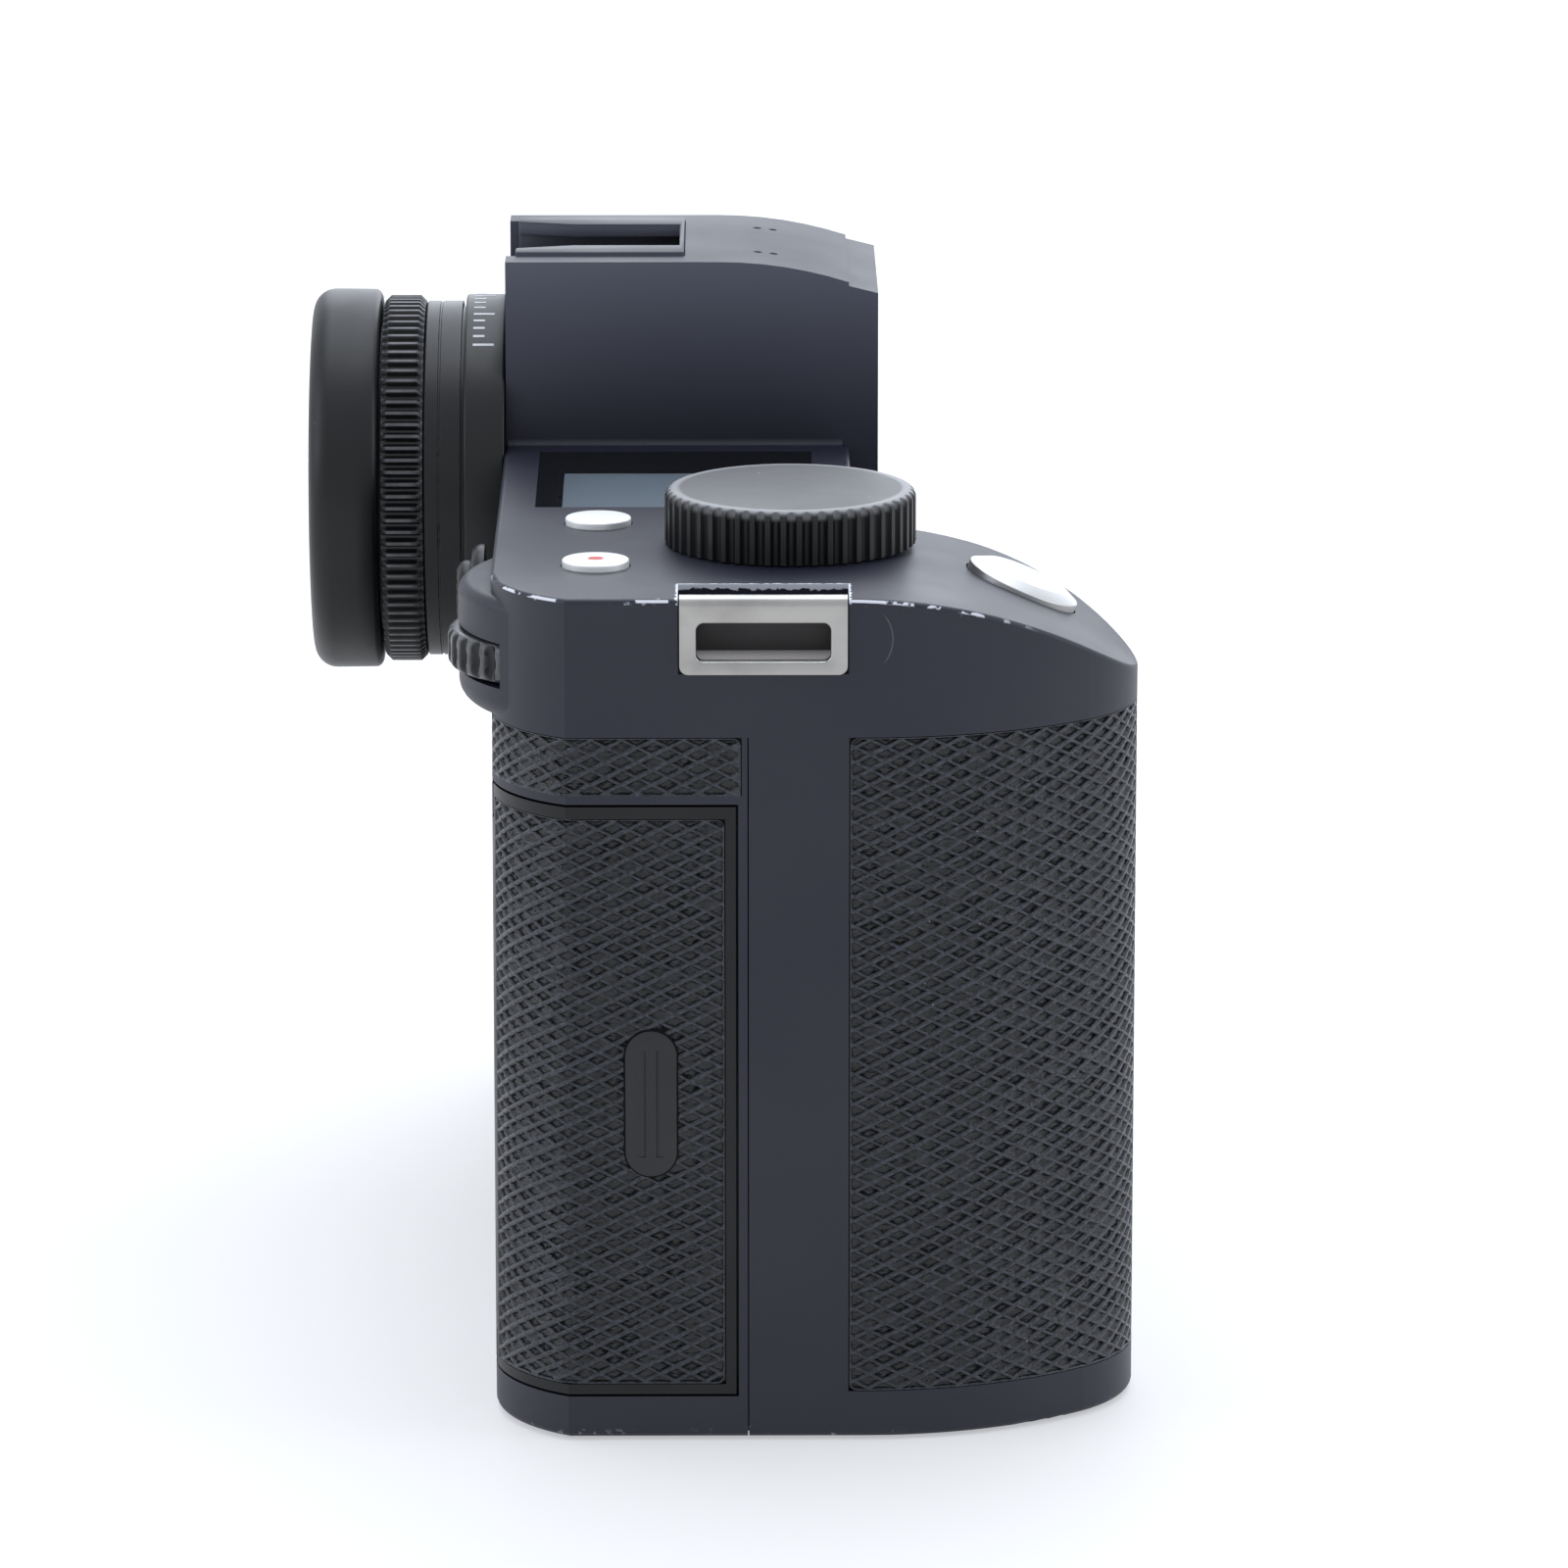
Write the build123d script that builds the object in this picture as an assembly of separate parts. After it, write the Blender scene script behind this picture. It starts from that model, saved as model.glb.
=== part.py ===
from build123d import *
import os
from math import asin, atan2, cos, degrees, pi, radians, sin, sqrt

# Full frame mirrorless camera body in millimetres. The lens axis is X = 0 and points along -Y,
# the grip end lies towards -X, and the base rests on Z = 0. The origin is the tripod socket's mouth.

os.makedirs("parts", exist_ok=True)

# Body block
GRIP_REACH = 89.5        # lens axis to the grip end
FAR_REACH = 57.5         # lens axis to the far end
REAR_Y = 18.3            # rear face
FRONT_Y = -17.55         # front face
COVER_Z = 70.9           # joint between the shells and the top cover
TOP_Z = 84.6             # top plate
REAR_CORNER_R = 14.7
SIDE_FLAT_Y = 10.9       # where the flat end meets the rear corner in a crisp edge
FRONT_CORNER_R = 8.0
SEAM_Y = -6.8            # seam between the front and the rear shell
SEAM_GAP = 0.12
SHELL_T = 2.5            # shell wall with its covering
LEATHER_T = 0.9
COVER_T = 1.6            # top cover wall
FOOT_R = 0.8             # rounded lower edge of the shells
FOOT_Z = 0.1             # lowest edge of the shells above the resting plane
EDGE_R = 0.5             # rounded upper edge of the top cover

# Grip
GRIP_START_Y = -18.3
NOSE_X = 19.0 - GRIP_REACH
NOSE_Y = -45.3
NOSE_OUTER_R = 14.5
NOSE_INNER_R = 16.5
GRIP_ROOT_R = 5.0
SLOPE_START_Y = -16.7
SLOPE_R = 44.2

# Base
BASE_T = 1.5
FLOOR_T = 1.5
BASE_MARGIN = 2.6
SOCKET_R = 3.175
SOCKET_DEPTH = 5.0
SOCKET_FLANGE_R = 8.0
SCREW_HEAD_R = 1.7
SCREW_HEAD_T = 0.8
SCREW_R = 0.9

# Clearances
FIT = 0.05               # running fit of a shaft, on the radius
GAP = 0.15               # round buttons and plates
DOOR_GAP = 0.25          # round doors

# Finder hump and front fascia
HUMP_HALF = 14.2
HUMP_Z = 104.0
HUMP_REAR_Y = 18.2
HUMP_BREAK_Y = -4.0      # where the flat top starts to fall
HUMP_FALL_R = 44.0
HUMP_WALL = 1.8
FASCIA_T = 3.05
FASCIA_STEP = 0.4
MIC_X = 7.2
MIC_Y = (-8.1, -9.75)
MIC_R = 0.45

# Hot shoe
SHOE_SLOT = 18.7
SHOE_MOUTH = 12.6
SHOE_SLOT_H = 2.05
SHOE_LIP_T = 1.4
SHOE_BASE_T = 0.8
SHOE_LENGTH = 18.7
SHOE_WALL = 1.1
SHOE_STOP_T = 0.5        # wall at the closed front end
SHOE_PROUD = 0.4         # above the top of the hump
SHOE_SETBACK = 1.0       # ahead of the hump's rear face
SHOE_FLARE = 1.65        # widening of the mouth at its rear end
SHOE_FLARE_LENGTH = 6.0

# Lens mount
LENS_Z = 43.0
RING_R = 32.0
THROAT_R = 27.4
TAB_R = 25.8
TAB_COUNT = 4
TAB_ANGLE = 50.0
TAB_START = 20.0
TAB_T = 1.4
RING_T = 3.4
RING_PROUD = 0.8
RING_CHAMFER = 0.4
SLEEVE_R = 28.3
DISC_R = 34.5
MOUNT_SCREWS = 4
MOUNT_SCREW_PCR = 30.1
MOUNT_SCREW_R = 1.1
CONTACT_COUNT = 10
CONTACT_W = 0.9
CONTACT_RISE = 0.4
CONTACT_SPAN = (242.0, 298.0)
CONTACT_MARGIN = 7.0
CONTACT_SET_BACK = 2.2
CONTACT_ARC_T = 3.0

# Sensor stack, measured back from the flange
FLANGE_FOCUS = 20.0
SENSOR_W = 36.0
SENSOR_H = 24.0
SENSOR_T = 0.6
GATE_W = 37.4
GATE_H = 25.4
BAFFLE_W = 44.0
BAFFLE_H = 36.0
BAFFLE_R = 14.0
SHUTTER_W = 58.0
SHUTTER_H = 53.0
SHUTTER_T = 4.4
LEAF_T = 0.2
LEAF_PITCH = 0.4
LEAF_TRAVEL = 26.0
GLASS_T = 0.8
GLASS_MARGIN = 2.0       # filter glass beyond the sensor, all round
PACKAGE_MARGIN = (5.0, 4.5)
RECESS_MARGIN = 1.0

# Inner chassis
CHASSIS_T = 6.0
CHASSIS_HALF = 36.0
CHASSIS_LOW_Z = 5.0
POST_X = 33.0
POST_LOW_Z = 11.0
POST_HIGH_Z = 63.0
POST_R = 3.0
POST_TIP_R = 1.8
PLATE_T = 1.2
BOARD_Y = 6.0
BOARD_T = 1.4
BOARD_HALF = 40.0

# Eyepiece
EYE_Z = 78.3
COLLAR_R = 19.45
COLLAR_T = 4.3
NECK_R = 18.75
NECK_T = 4.1
SPIGOT_R = 16.2
DIOPTER_T = 4.4
DIOPTER_R = 19.35
DIOPTER_RIDGES = 60
RIDGE_DEPTH = 0.45
RIDGE_HALF = 0.4
EYECUP_R = 20.05
EYECUP_T = 7.2
EYECUP_HOLE_R = 13.4
BARREL_R = 11.5
BARREL_BORE = 10.0
LENS_R = 13.2
LENS_CROWN = 2.0

# Top plate controls
DIAL_X = 26.9 - GRIP_REACH
DIAL_Y = -11.1
DIAL_R = 12.45
DIAL_H = 5.2
DIAL_LIFT = 0.3
DIAL_FLUTES = 50
DIAL_CHAMFER = 0.6
FLUTE_DEPTH = 0.6
SHAFT_R = 3.0
BUTTON_R = 3.3
BUTTON_Y = 8.07
BUTTON_X = (35.8 - GRIP_REACH, 15.7 - GRIP_REACH)
BUTTON_RISE = 0.72
BUTTON_SINK = 0.4
BUTTON_DOME = 0.08
BUTTON_STEM_R = 1.2
RELEASE_X = 22.7 - GRIP_REACH
RELEASE_Y = -34.0
RELEASE_R = 5.75
RELEASE_RISE = 1.15
RELEASE_BEVEL = 1.5
RELEASE_DISH = 0.3
WINDOW_X = (43.7 - GRIP_REACH, -17.4)
WINDOW_Y = (-13.6, 14.6)
WINDOW_T = 1.0
PANEL_X = (44.3 - GRIP_REACH, -27.5)
PANEL_Y = (-12.8, 12.4)
PANEL_T = 1.8

# Thumb wheel and its housing
BUMP_X = 18.2 - GRIP_REACH
BUMP_Y = 3.6
BUMP_R = 18.0
BUMP_DROP = 1.6          # below the top plate
BUMP_TOP_R = 1.2
BUMP_LOW_R = 2.2
WHEEL_X = 17.0 - GRIP_REACH
WHEEL_Y = 10.65
WHEEL_R = 12.0
WHEEL_T = 3.9
WHEEL_Z = 76.5
WHEEL_RIBS = 36
WHEEL_RIB_DEPTH = 0.8
AXLE_R = 1.5

# Joystick
STICK_X = 40.0 - GRIP_REACH
STICK_Z = 76.4
STICK_R = 5.2
STICK_NECK_R = 1.6
STICK_HOLE_R = 3.4
PIVOT_DEPTH = 3.6        # pivot behind the rear face
GIMBAL_R = 4.4
GIMBAL_BORE = 3.0
PIN_R = 0.6

# Strap lugs
LUG_Y = -8.3
LUG_W = 16.25
LUG_T = 1.2
LUG_PROUD = 0.3
LUG_LOW_Z = 77.2
LUG_HIGH_Z = 85.06
LUG_WINDOW_W = 13.0
LUG_WINDOW_LOW = 78.46
LUG_WINDOW_H = 3.8
POCKET_DEPTH = 7.0

# Card door
CARD_DOOR_FRONT_Y = -5.6
CARD_DOOR_LOW_Z = 4.6
CARD_DOOR_HIGH_Z = 64.0
DOOR_T = 2.3
DOOR_LEATHER_T = 0.7
DOOR_RIM = 1.0
HINGE_X = 12.1 - GRIP_REACH
BARREL_HINGE_R = 1.2
HINGE_PIN_R = 0.55
KNUCKLE_H = 3.0
STUB_PIN = 1.2
LATCH_Y = 2.7
LATCH_Z = 34.25
LATCH_W = 5.25
LATCH_H = 14.9
LATCH_PROUD = 0.25
SLOT_PITCH = 3.4
SLOT_W = 25.0
SLOT_T = 2.2
SLOT_DEPTH = 30.0
SLOT_END_T = 4.0
SLOT_MARGIN = 2.4
CARD_BLOCK_T = 7.4

# Coverings
STRIP_FRONT_Y = -6.2
STRIP_LOW_Z = 65.1
GRIP_LEATHER_Y = -16.6
GRIP_LEATHER_MARGIN = 4.0   # between the lens mount ring and the grip covering
LEATHER_LOW_Z = 4.85
THUMB_LEATHER_X = -56.0
FAR_LEATHER_FRONT_X = 36.0
FAR_LEATHER_MARGIN = 3.0  # between the far keys and the covering

# Rear face
SCREEN_X = -5.0
SCREEN_Z = 32.5
SCREEN_W = 74.0
SCREEN_H = 49.0
SCREEN_GLASS_T = 1.6
SCREEN_T = 3.8
LONG_BUTTON_W = 5.4
LONG_BUTTON_H = 19.0
LONG_BUTTON_Z = (20.5, 44.5)
LONG_BUTTON_GAP = 1.6    # between the screen and the keys
FINDER_BUTTON_X = -28.0
FINDER_BUTTON_Z = 65.0
FINDER_BUTTON_R = 2.9
KEY_RISE = 0.6
KEY_FLANGE = 0.7
LEVER_X = 34.0
LEVER_Z = 65.0
LEVER_R = 4.8
LEVER_T = 1.8
LEVER_TAB = 3.2

# Front face
UNLOCK_X = -42.0
UNLOCK_Z = 34.0
UNLOCK_R = 4.4
UNLOCK_RISE = 1.6
LOCK_ANGLE = 200.0
LOCK_PIN_R = 1.4

# Battery
BATTERY_X = 18.5 - GRIP_REACH
BATTERY_Y = -16.0
BATTERY_W = 22.0
BATTERY_D = 33.0
BATTERY_TOP_Z = 59.5
BATTERY_CORNER_R = 4.0
BATTERY_CAP_LIP = 1.0
BAY_GAP = 0.3
BAY_T = 1.2
CATCH_X = 39.0 - GRIP_REACH
CATCH_Y = -9.0
CATCH_R = 4.6

# Port door on the far end
PORT_Y = (-8.0, 8.0)
PORT_Z = (12.0, 60.0)
PORT_BLOCK_D = 10.0


# Shared forms

def crown(r, rim, rise):
    """Arc of a dome or a dish from its rim to the axis, as (radius, height) points."""
    sphere_r = (r**2 + rise**2) / (2 * abs(rise))
    half = asin(r / sphere_r) / 2
    middle = rise - sphere_r * (1 - cos(half)) * (1 if rise > 0 else -1)
    return ThreePointArc((r, rim), (sphere_r * sin(half), rim + middle), (0, rim + rise))


def polar(centre, r, angle):
    """Point at an angle in degrees round a centre."""
    return (centre[0] + r * cos(radians(angle)), centre[1] + r * sin(radians(angle)))


def bend(centre, r, start, end):
    """Arc round a centre, between two angles in degrees."""
    middle = polar(centre, r, (start + end) / 2)
    return ThreePointArc(polar(centre, r, start), middle, polar(centre, r, end))


def arc_bar(r_inner, r_outer, start, end):
    """Flat bar bent round the origin, between two radii and two angles."""
    return make_face([
        bend((0, 0), r_outer, start, end),
        bend((0, 0), r_inner, start, end),
        Line(polar((0, 0), r_outer, start), polar((0, 0), r_inner, start)),
        Line(polar((0, 0), r_outer, end), polar((0, 0), r_inner, end)),
    ])


def block(x, y, z):
    """Box between a low and a high value on each axis."""
    size = Box(x[1] - x[0], y[1] - y[0], z[1] - z[0])
    return Pos((x[0] + x[1]) / 2, (y[0] + y[1]) / 2, (z[0] + z[1]) / 2) * size


def prism(face, z_low, z_high):
    """A plan outline raised between two heights."""
    return Pos(0, 0, z_low) * extrude(face, amount=z_high - z_low)


def turned(profile, x, z):
    """Solid turned about a line along Y through (x, z); the profile lists (radius, y)."""
    face = make_face(Polyline(*profile, close=True))
    return Pos(x, 0, z) * revolve(face, axis=Axis.Y)


def upright(profile, x, y):
    """Solid turned about a vertical line through (x, y); the profile lists (radius, z)."""
    face = Plane.XZ * make_face(Polyline(*profile, close=True))
    return Pos(x, y, 0) * revolve(face, axis=Axis.Z)


def rod_y(r, x, z, y_low, y_high):
    """Round bar along Y."""
    return turned([(0, y_low), (r, y_low), (r, y_high), (0, y_high)], x, z)


def rod_z(r, x, y, z_low, z_high):
    """Round bar along Z."""
    return upright([(0, z_low), (r, z_low), (r, z_high), (0, z_high)], x, y)


def rod_x(r, y, z, x_low, x_high):
    """Round bar along X."""
    bar = Rot(0, 90, 0) * Cylinder(r, x_high - x_low)
    return Pos((x_low + x_high) / 2, y, z) * bar


def rear_stadium(x, z, width, height, y_low, y_high):
    """Upright bar with round ends, standing on the rear face."""
    face = Plane.XZ * SlotOverall(height, width, rotation=90)
    return Pos(x, y_high, z) * extrude(face, amount=y_high - y_low)


def save(name, *solids):
    """Write one part, or one group of like parts."""
    shape = solids[0] if len(solids) == 1 else Compound(children=list(solids))
    export_step(shape, f"parts/{name}.step")


def to_far_end(shape):
    """The same form on the far end of the body."""
    return Pos(FAR_REACH - GRIP_REACH, 0, 0) * mirror(shape, Plane.YZ)


# Plan outline

def body_face():
    """Body and grip seen from above: straight runs and tangent arcs."""
    corner_y = REAR_Y - REAR_CORNER_R
    lean = degrees(asin((SIDE_FLAT_Y - corner_y) / REAR_CORNER_R))
    corner_run = REAR_CORNER_R * cos(radians(lean))
    grip_corner = (-GRIP_REACH + corner_run, corner_y)
    far_corner = (FAR_REACH - corner_run, corner_y)
    nose = (NOSE_X, NOSE_Y + NOSE_OUTER_R)
    half_width = NOSE_X + GRIP_REACH
    fall = GRIP_START_Y - nose[1]
    side_r = (half_width**2 + fall**2 - NOSE_OUTER_R**2) / (2 * (half_width - NOSE_OUTER_R))
    side = (-GRIP_REACH + side_r, GRIP_START_Y)
    turn = 180 + degrees(atan2(side[1] - nose[1], side[0] - nose[0]))
    inner = (NOSE_X, NOSE_Y + NOSE_INNER_R)
    inner_x = NOSE_X + NOSE_INNER_R
    root = (inner_x + GRIP_ROOT_R, FRONT_Y - GRIP_ROOT_R)
    front_corner = (FAR_REACH - FRONT_CORNER_R, FRONT_Y + FRONT_CORNER_R)
    edges = [
        bend(grip_corner, REAR_CORNER_R, 90, 180 - lean),
        Line(polar(grip_corner, REAR_CORNER_R, 180 - lean), (-GRIP_REACH, GRIP_START_Y)),
        bend(side, side_r, 180, turn),
        bend(nose, NOSE_OUTER_R, turn, 270),
        bend(inner, NOSE_INNER_R, 270, 360),
        Line((inner_x, inner[1]), (inner_x, root[1])),
        bend(root, GRIP_ROOT_R, 180, 90),
        Line((root[0], FRONT_Y), (front_corner[0], FRONT_Y)),
        bend(front_corner, FRONT_CORNER_R, 270, 360),
        Line((FAR_REACH, front_corner[1]), (FAR_REACH, SIDE_FLAT_Y)),
        bend(far_corner, REAR_CORNER_R, lean, 90),
        Line((far_corner[0], REAR_Y), (grip_corner[0], REAR_Y)),
    ]
    return make_face(edges)


OUTLINE = body_face()
BEYOND = GRIP_REACH + FAR_REACH


def plate(inset, z_low, z_high):
    """Slab with the body's outline, drawn in by an inset."""
    face = OUTLINE if inset == 0 else offset(OUTLINE, amount=-inset)
    return prism(face, z_low, z_high)


def band(inset_low, inset_high, z_low, z_high):
    """Wall between two insets of the outline."""
    return plate(inset_low, z_low, z_high) - plate(inset_high, z_low - 1, z_high + 1)


# Places that several parts share

FLOOR_Z = BASE_T + FLOOR_T
FLANGE_Y = FRONT_Y - FASCIA_T - RING_PROUD
SENSOR_Y = FLANGE_Y + FLANGE_FOCUS
INNER_FRONT_Y = FRONT_Y + SHELL_T
CHASSIS_Y = INNER_FRONT_Y + CHASSIS_T
SHUTTER_Y = CHASSIS_Y + SHUTTER_T
PACKAGE_FRONT_Y = SENSOR_Y - 1.7
PACKAGE_REAR_Y = SENSOR_Y + 1.6
PLATE_REAR_Y = PACKAGE_REAR_Y + PLATE_T
WELL_T = DOOR_T + 0.3
DOOR_BACK_T = WELL_T + 1.2
HINGE_Y = REAR_Y - BARREL_HINGE_R
SHOE_DEPTH = SHOE_BASE_T + SHOE_SLOT_H + SHOE_LIP_T - SHOE_PROUD
SHOE_HALF = SHOE_SLOT / 2 + SHOE_WALL
SHOE_FRONT_Y = HUMP_REAR_Y - SHOE_LENGTH
SPIGOT_START_Y = REAR_Y + COLLAR_T + NECK_T
RING_START_Y = SPIGOT_START_Y + GAP
CUP_START_Y = RING_START_Y + DIOPTER_T + 2 * GAP
SPIGOT_END_Y = CUP_START_Y + EYECUP_T - 2.6
LOCK_X, LOCK_Z = polar((0, LENS_Z), MOUNT_SCREW_PCR, LOCK_ANGLE)
POSTS = [(x, z) for x in (-POST_X, POST_X) for z in (POST_LOW_Z, POST_HIGH_Z)]
LONG_BUTTON_REACH = SCREEN_W / 2 + LONG_BUTTON_GAP + LONG_BUTTON_W / 2
GRIP_LEATHER_X = -RING_R - GRIP_LEATHER_MARGIN
FAR_LEATHER_REAR_X = SCREEN_X + LONG_BUTTON_REACH + LONG_BUTTON_W / 2 + FAR_LEATHER_MARGIN
LONG_BUTTONS = {
    f"{side}_{level}_button": (SCREEN_X + sign * LONG_BUTTON_REACH, z)
    for side, sign in (("grip_side", -1), ("far_side", 1))
    for level, z in zip(("lower", "upper"), LONG_BUTTON_Z)
}
SLOPE_AXIS_Z = TOP_Z - SLOPE_R
RELEASE_LEAN = degrees(asin((SLOPE_START_Y - RELEASE_Y) / SLOPE_R))
RELEASE_Z = SLOPE_AXIS_Z + SLOPE_R * cos(radians(RELEASE_LEAN))
RELEASE_SEAT = Pos(RELEASE_X, RELEASE_Y, RELEASE_Z) * Rot(RELEASE_LEAN, 0, 0)
BASE_SCREWS = [(5.0 - GRIP_REACH, 6.5), (48.5 - GRIP_REACH, -12.0), (36.0, 13.0), (49.0, -9.0)]


# Covers and shells

def battery_face(extra):
    """Plan section of the battery, grown by a margin."""
    width, depth = BATTERY_W + 2 * extra, BATTERY_D + 2 * extra
    return Pos(BATTERY_X, BATTERY_Y) * RectangleRounded(width, depth, BATTERY_CORNER_R + extra)


def card_door_zone(grow, inset):
    """Part of the outer wall that the card door takes, grown all round by a gap."""
    wall = band(0, inset, CARD_DOOR_LOW_Z - grow, CARD_DOOR_HIGH_Z + grow)
    zone = block((-BEYOND, HINGE_X), (CARD_DOOR_FRONT_Y - grow, BEYOND), (0, TOP_Z))
    return wall & zone


def port_door_zone(grow, inset):
    """Part of the far wall that the port door takes."""
    x = (FAR_REACH - inset, FAR_REACH + 1)
    return block(x, (PORT_Y[0] - grow, PORT_Y[1] + grow), (PORT_Z[0] - grow, PORT_Z[1] + grow))


def card_hinge_channel():
    """Channel that the card door's hinge barrel turns in, with an upright shoulder."""
    r = BARREL_HINGE_R + DOOR_GAP
    z = (CARD_DOOR_LOW_Z - DOOR_GAP, CARD_DOOR_HIGH_Z + DOOR_GAP)
    return rod_z(r, HINGE_X, HINGE_Y, *z) + block((HINGE_X, HINGE_X + r), (HINGE_Y, REAR_Y + 1), z)


def grip_leather():
    """Covering of the grip, from the spine round the nose to the lens side."""
    skin = band(0, LEATHER_T, LEATHER_LOW_Z, COVER_Z)
    zone = block((-BEYOND, GRIP_LEATHER_X), (-BEYOND, GRIP_LEATHER_Y), (0, TOP_Z))
    return skin & zone - rod_y(UNLOCK_R + 1, UNLOCK_X, UNLOCK_Z, -BEYOND, 0)


def rear_leather():
    """Rear strip over the card door, with the thumb rest below it."""
    strip = band(0, LEATHER_T, STRIP_LOW_Z, COVER_Z)
    strip = strip & block((-BEYOND, THUMB_LEATHER_X), (STRIP_FRONT_Y, BEYOND), (0, TOP_Z))
    rest_x = HINGE_X + BARREL_HINGE_R + 2 * DOOR_GAP
    rest = block((rest_x, THUMB_LEATHER_X), (REAR_Y - LEATHER_T, REAR_Y), (LEATHER_LOW_Z, STRIP_LOW_Z))
    return strip + rest


def far_leather():
    """Covering of the far end, open round the port door."""
    skin = band(0, LEATHER_T, LEATHER_LOW_Z, COVER_Z)
    zone = block((FAR_LEATHER_FRONT_X, BEYOND), (-BEYOND, 0), (0, TOP_Z))
    zone += block((FAR_LEATHER_REAR_X, BEYOND), (0, BEYOND), (0, TOP_Z))
    skin = skin & zone
    return skin - port_door_zone(DOOR_GAP, SHELL_T) - port_hinge_channel()


def port_hinge_channel():
    """Channel for the port door's hinge barrel, with holes for its two stub pins."""
    x, y = port_hinge()
    r = BARREL_HINGE_R + DOOR_GAP
    z = (PORT_Z[0] - DOOR_GAP, PORT_Z[1] + DOOR_GAP)
    channel = rod_z(r, x, y, *z) + block((x, FAR_REACH + 1), (y - r, y), z)
    return channel + rod_z(HINGE_PIN_R + FIT, x, y, z[0] - STUB_PIN, z[1] + STUB_PIN)


def port_hinge():
    """Plan position of the port door's hinge pin."""
    return (FAR_REACH - BARREL_HINGE_R, PORT_Y[0])


def shells():
    """Front and rear shell, cut from one walled block so that they share every face."""
    body = plate(0, FOOT_Z, COVER_Z)
    body = fillet(body.faces().sort_by(Axis.Z)[0].edges(), FOOT_R)
    body -= plate(SHELL_T, FLOOR_Z, COVER_Z + 1)
    body -= plate(BASE_MARGIN - GAP, -1, BASE_T)
    thick = band(SHELL_T - 0.2, DOOR_BACK_T, FLOOR_Z - 0.2, CARD_DOOR_HIGH_Z + 3)
    body += thick & block((-BEYOND, HINGE_X + 4), (CARD_DOOR_FRONT_Y - 2, BEYOND), (0, TOP_Z))
    back_z = (PORT_Z[0] - 2, PORT_Z[1] + 2)
    back_x = (FAR_REACH - DOOR_BACK_T, FAR_REACH - SHELL_T + 0.2)
    body += block(back_x, (PORT_Y[0] - 2, PORT_Y[1] + 2), back_z)
    body -= card_door_zone(DOOR_GAP, WELL_T)
    body -= card_hinge_channel()
    for z in knuckle_heights():
        body -= block(arm_x(GAP), (ARM_END_Y - GAP, REAR_Y + 1), (z[0] - GAP, z[1] + GAP))
    body -= port_door_zone(DOOR_GAP, WELL_T) + port_hinge_channel()
    body -= port_socket_block(GAP)
    body -= card_window()
    body -= rod_y(SLEEVE_R + FIT, 0, LENS_Z, FRONT_Y - 1, INNER_FRONT_Y + 1)
    body -= prism(battery_face(BAY_GAP), -1, FLOOR_Z + 1)
    body -= rod_z(SOCKET_R + 1.6, 0, 0, 0, FLOOR_Z + 1)
    body -= rod_y(UNLOCK_R + GAP, UNLOCK_X, UNLOCK_Z, FRONT_Y - GRIP_ROOT_R, INNER_FRONT_Y + 1)
    body -= rod_y(LOCK_PIN_R + FIT, LOCK_X, LOCK_Z, FRONT_Y - 1, INNER_FRONT_Y + 1)
    body -= rear_openings()
    for x, y in BASE_SCREWS:
        body -= rod_z(SCREW_R, x, y, BASE_T - 0.1, FLOOR_Z - 0.2)
    body -= grip_leather() + rear_leather() + far_leather()
    front = body & block((-BEYOND, BEYOND), (-BEYOND, SEAM_Y - SEAM_GAP / 2), (-1, TOP_Z))
    rear = body & block((-BEYOND, BEYOND), (SEAM_Y + SEAM_GAP / 2, BEYOND), (-1, TOP_Z))
    return front, rear


def rear_openings():
    """Holes through the rear wall for the screen, the keys and the power lever."""
    glass = block(
        (SCREEN_X - SCREEN_W / 2 - GAP, SCREEN_X + SCREEN_W / 2 + GAP),
        (REAR_Y - SCREEN_GLASS_T, REAR_Y + 1),
        (SCREEN_Z - SCREEN_H / 2 - GAP, SCREEN_Z + SCREEN_H / 2 + GAP),
    )
    cuts = glass + screen_block(GAP, REAR_Y - SHELL_T - 1)
    for x, z in LONG_BUTTONS.values():
        width, height = LONG_BUTTON_W + 2 * GAP, LONG_BUTTON_H + 2 * GAP
        cuts += rear_stadium(x, z, width, height, REAR_Y - SHELL_T - 1, REAR_Y + 1)
    cuts += rod_y(FINDER_BUTTON_R + GAP, FINDER_BUTTON_X, FINDER_BUTTON_Z, REAR_Y - SHELL_T - 1, REAR_Y + 1)
    cuts += rod_y(AXLE_R + FIT, LEVER_X, LEVER_Z, REAR_Y - SHELL_T - 1, REAR_Y + 1)
    cuts += rod_y(BARREL_R + FIT, 0, EYE_Z, REAR_Y - SHELL_T - 1, REAR_Y + 1)
    return cuts


def screen_block(grow, y_low):
    """Space of the screen module behind its glass."""
    half_w, half_h = SCREEN_W / 2 - 3 + grow, SCREEN_H / 2 - 3 + grow
    x = (SCREEN_X - half_w, SCREEN_X + half_w)
    return block(x, (y_low, REAR_Y - SCREEN_GLASS_T), (SCREEN_Z - half_h, SCREEN_Z + half_h))


def hump_profile(drop, rear_y, front_y, low_z):
    """Side view of the hump as a face in the YZ plane: flat, then falling to the front."""
    top = HUMP_Z - drop
    fall = HUMP_BREAK_Y - front_y
    low = top - (HUMP_FALL_R - sqrt(HUMP_FALL_R**2 - fall**2))
    half = fall / 2
    middle = (HUMP_BREAK_Y - half, top - (HUMP_FALL_R - sqrt(HUMP_FALL_R**2 - half**2)))
    edges = [
        Line((rear_y, low_z), (rear_y, top)),
        Line((rear_y, top), (HUMP_BREAK_Y, top)),
        ThreePointArc((HUMP_BREAK_Y, top), middle, (front_y, low)),
        Line((front_y, low), (front_y, low_z)),
        Line((front_y, low_z), (rear_y, low_z)),
    ]
    return Plane.YZ * make_face(edges)


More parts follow.
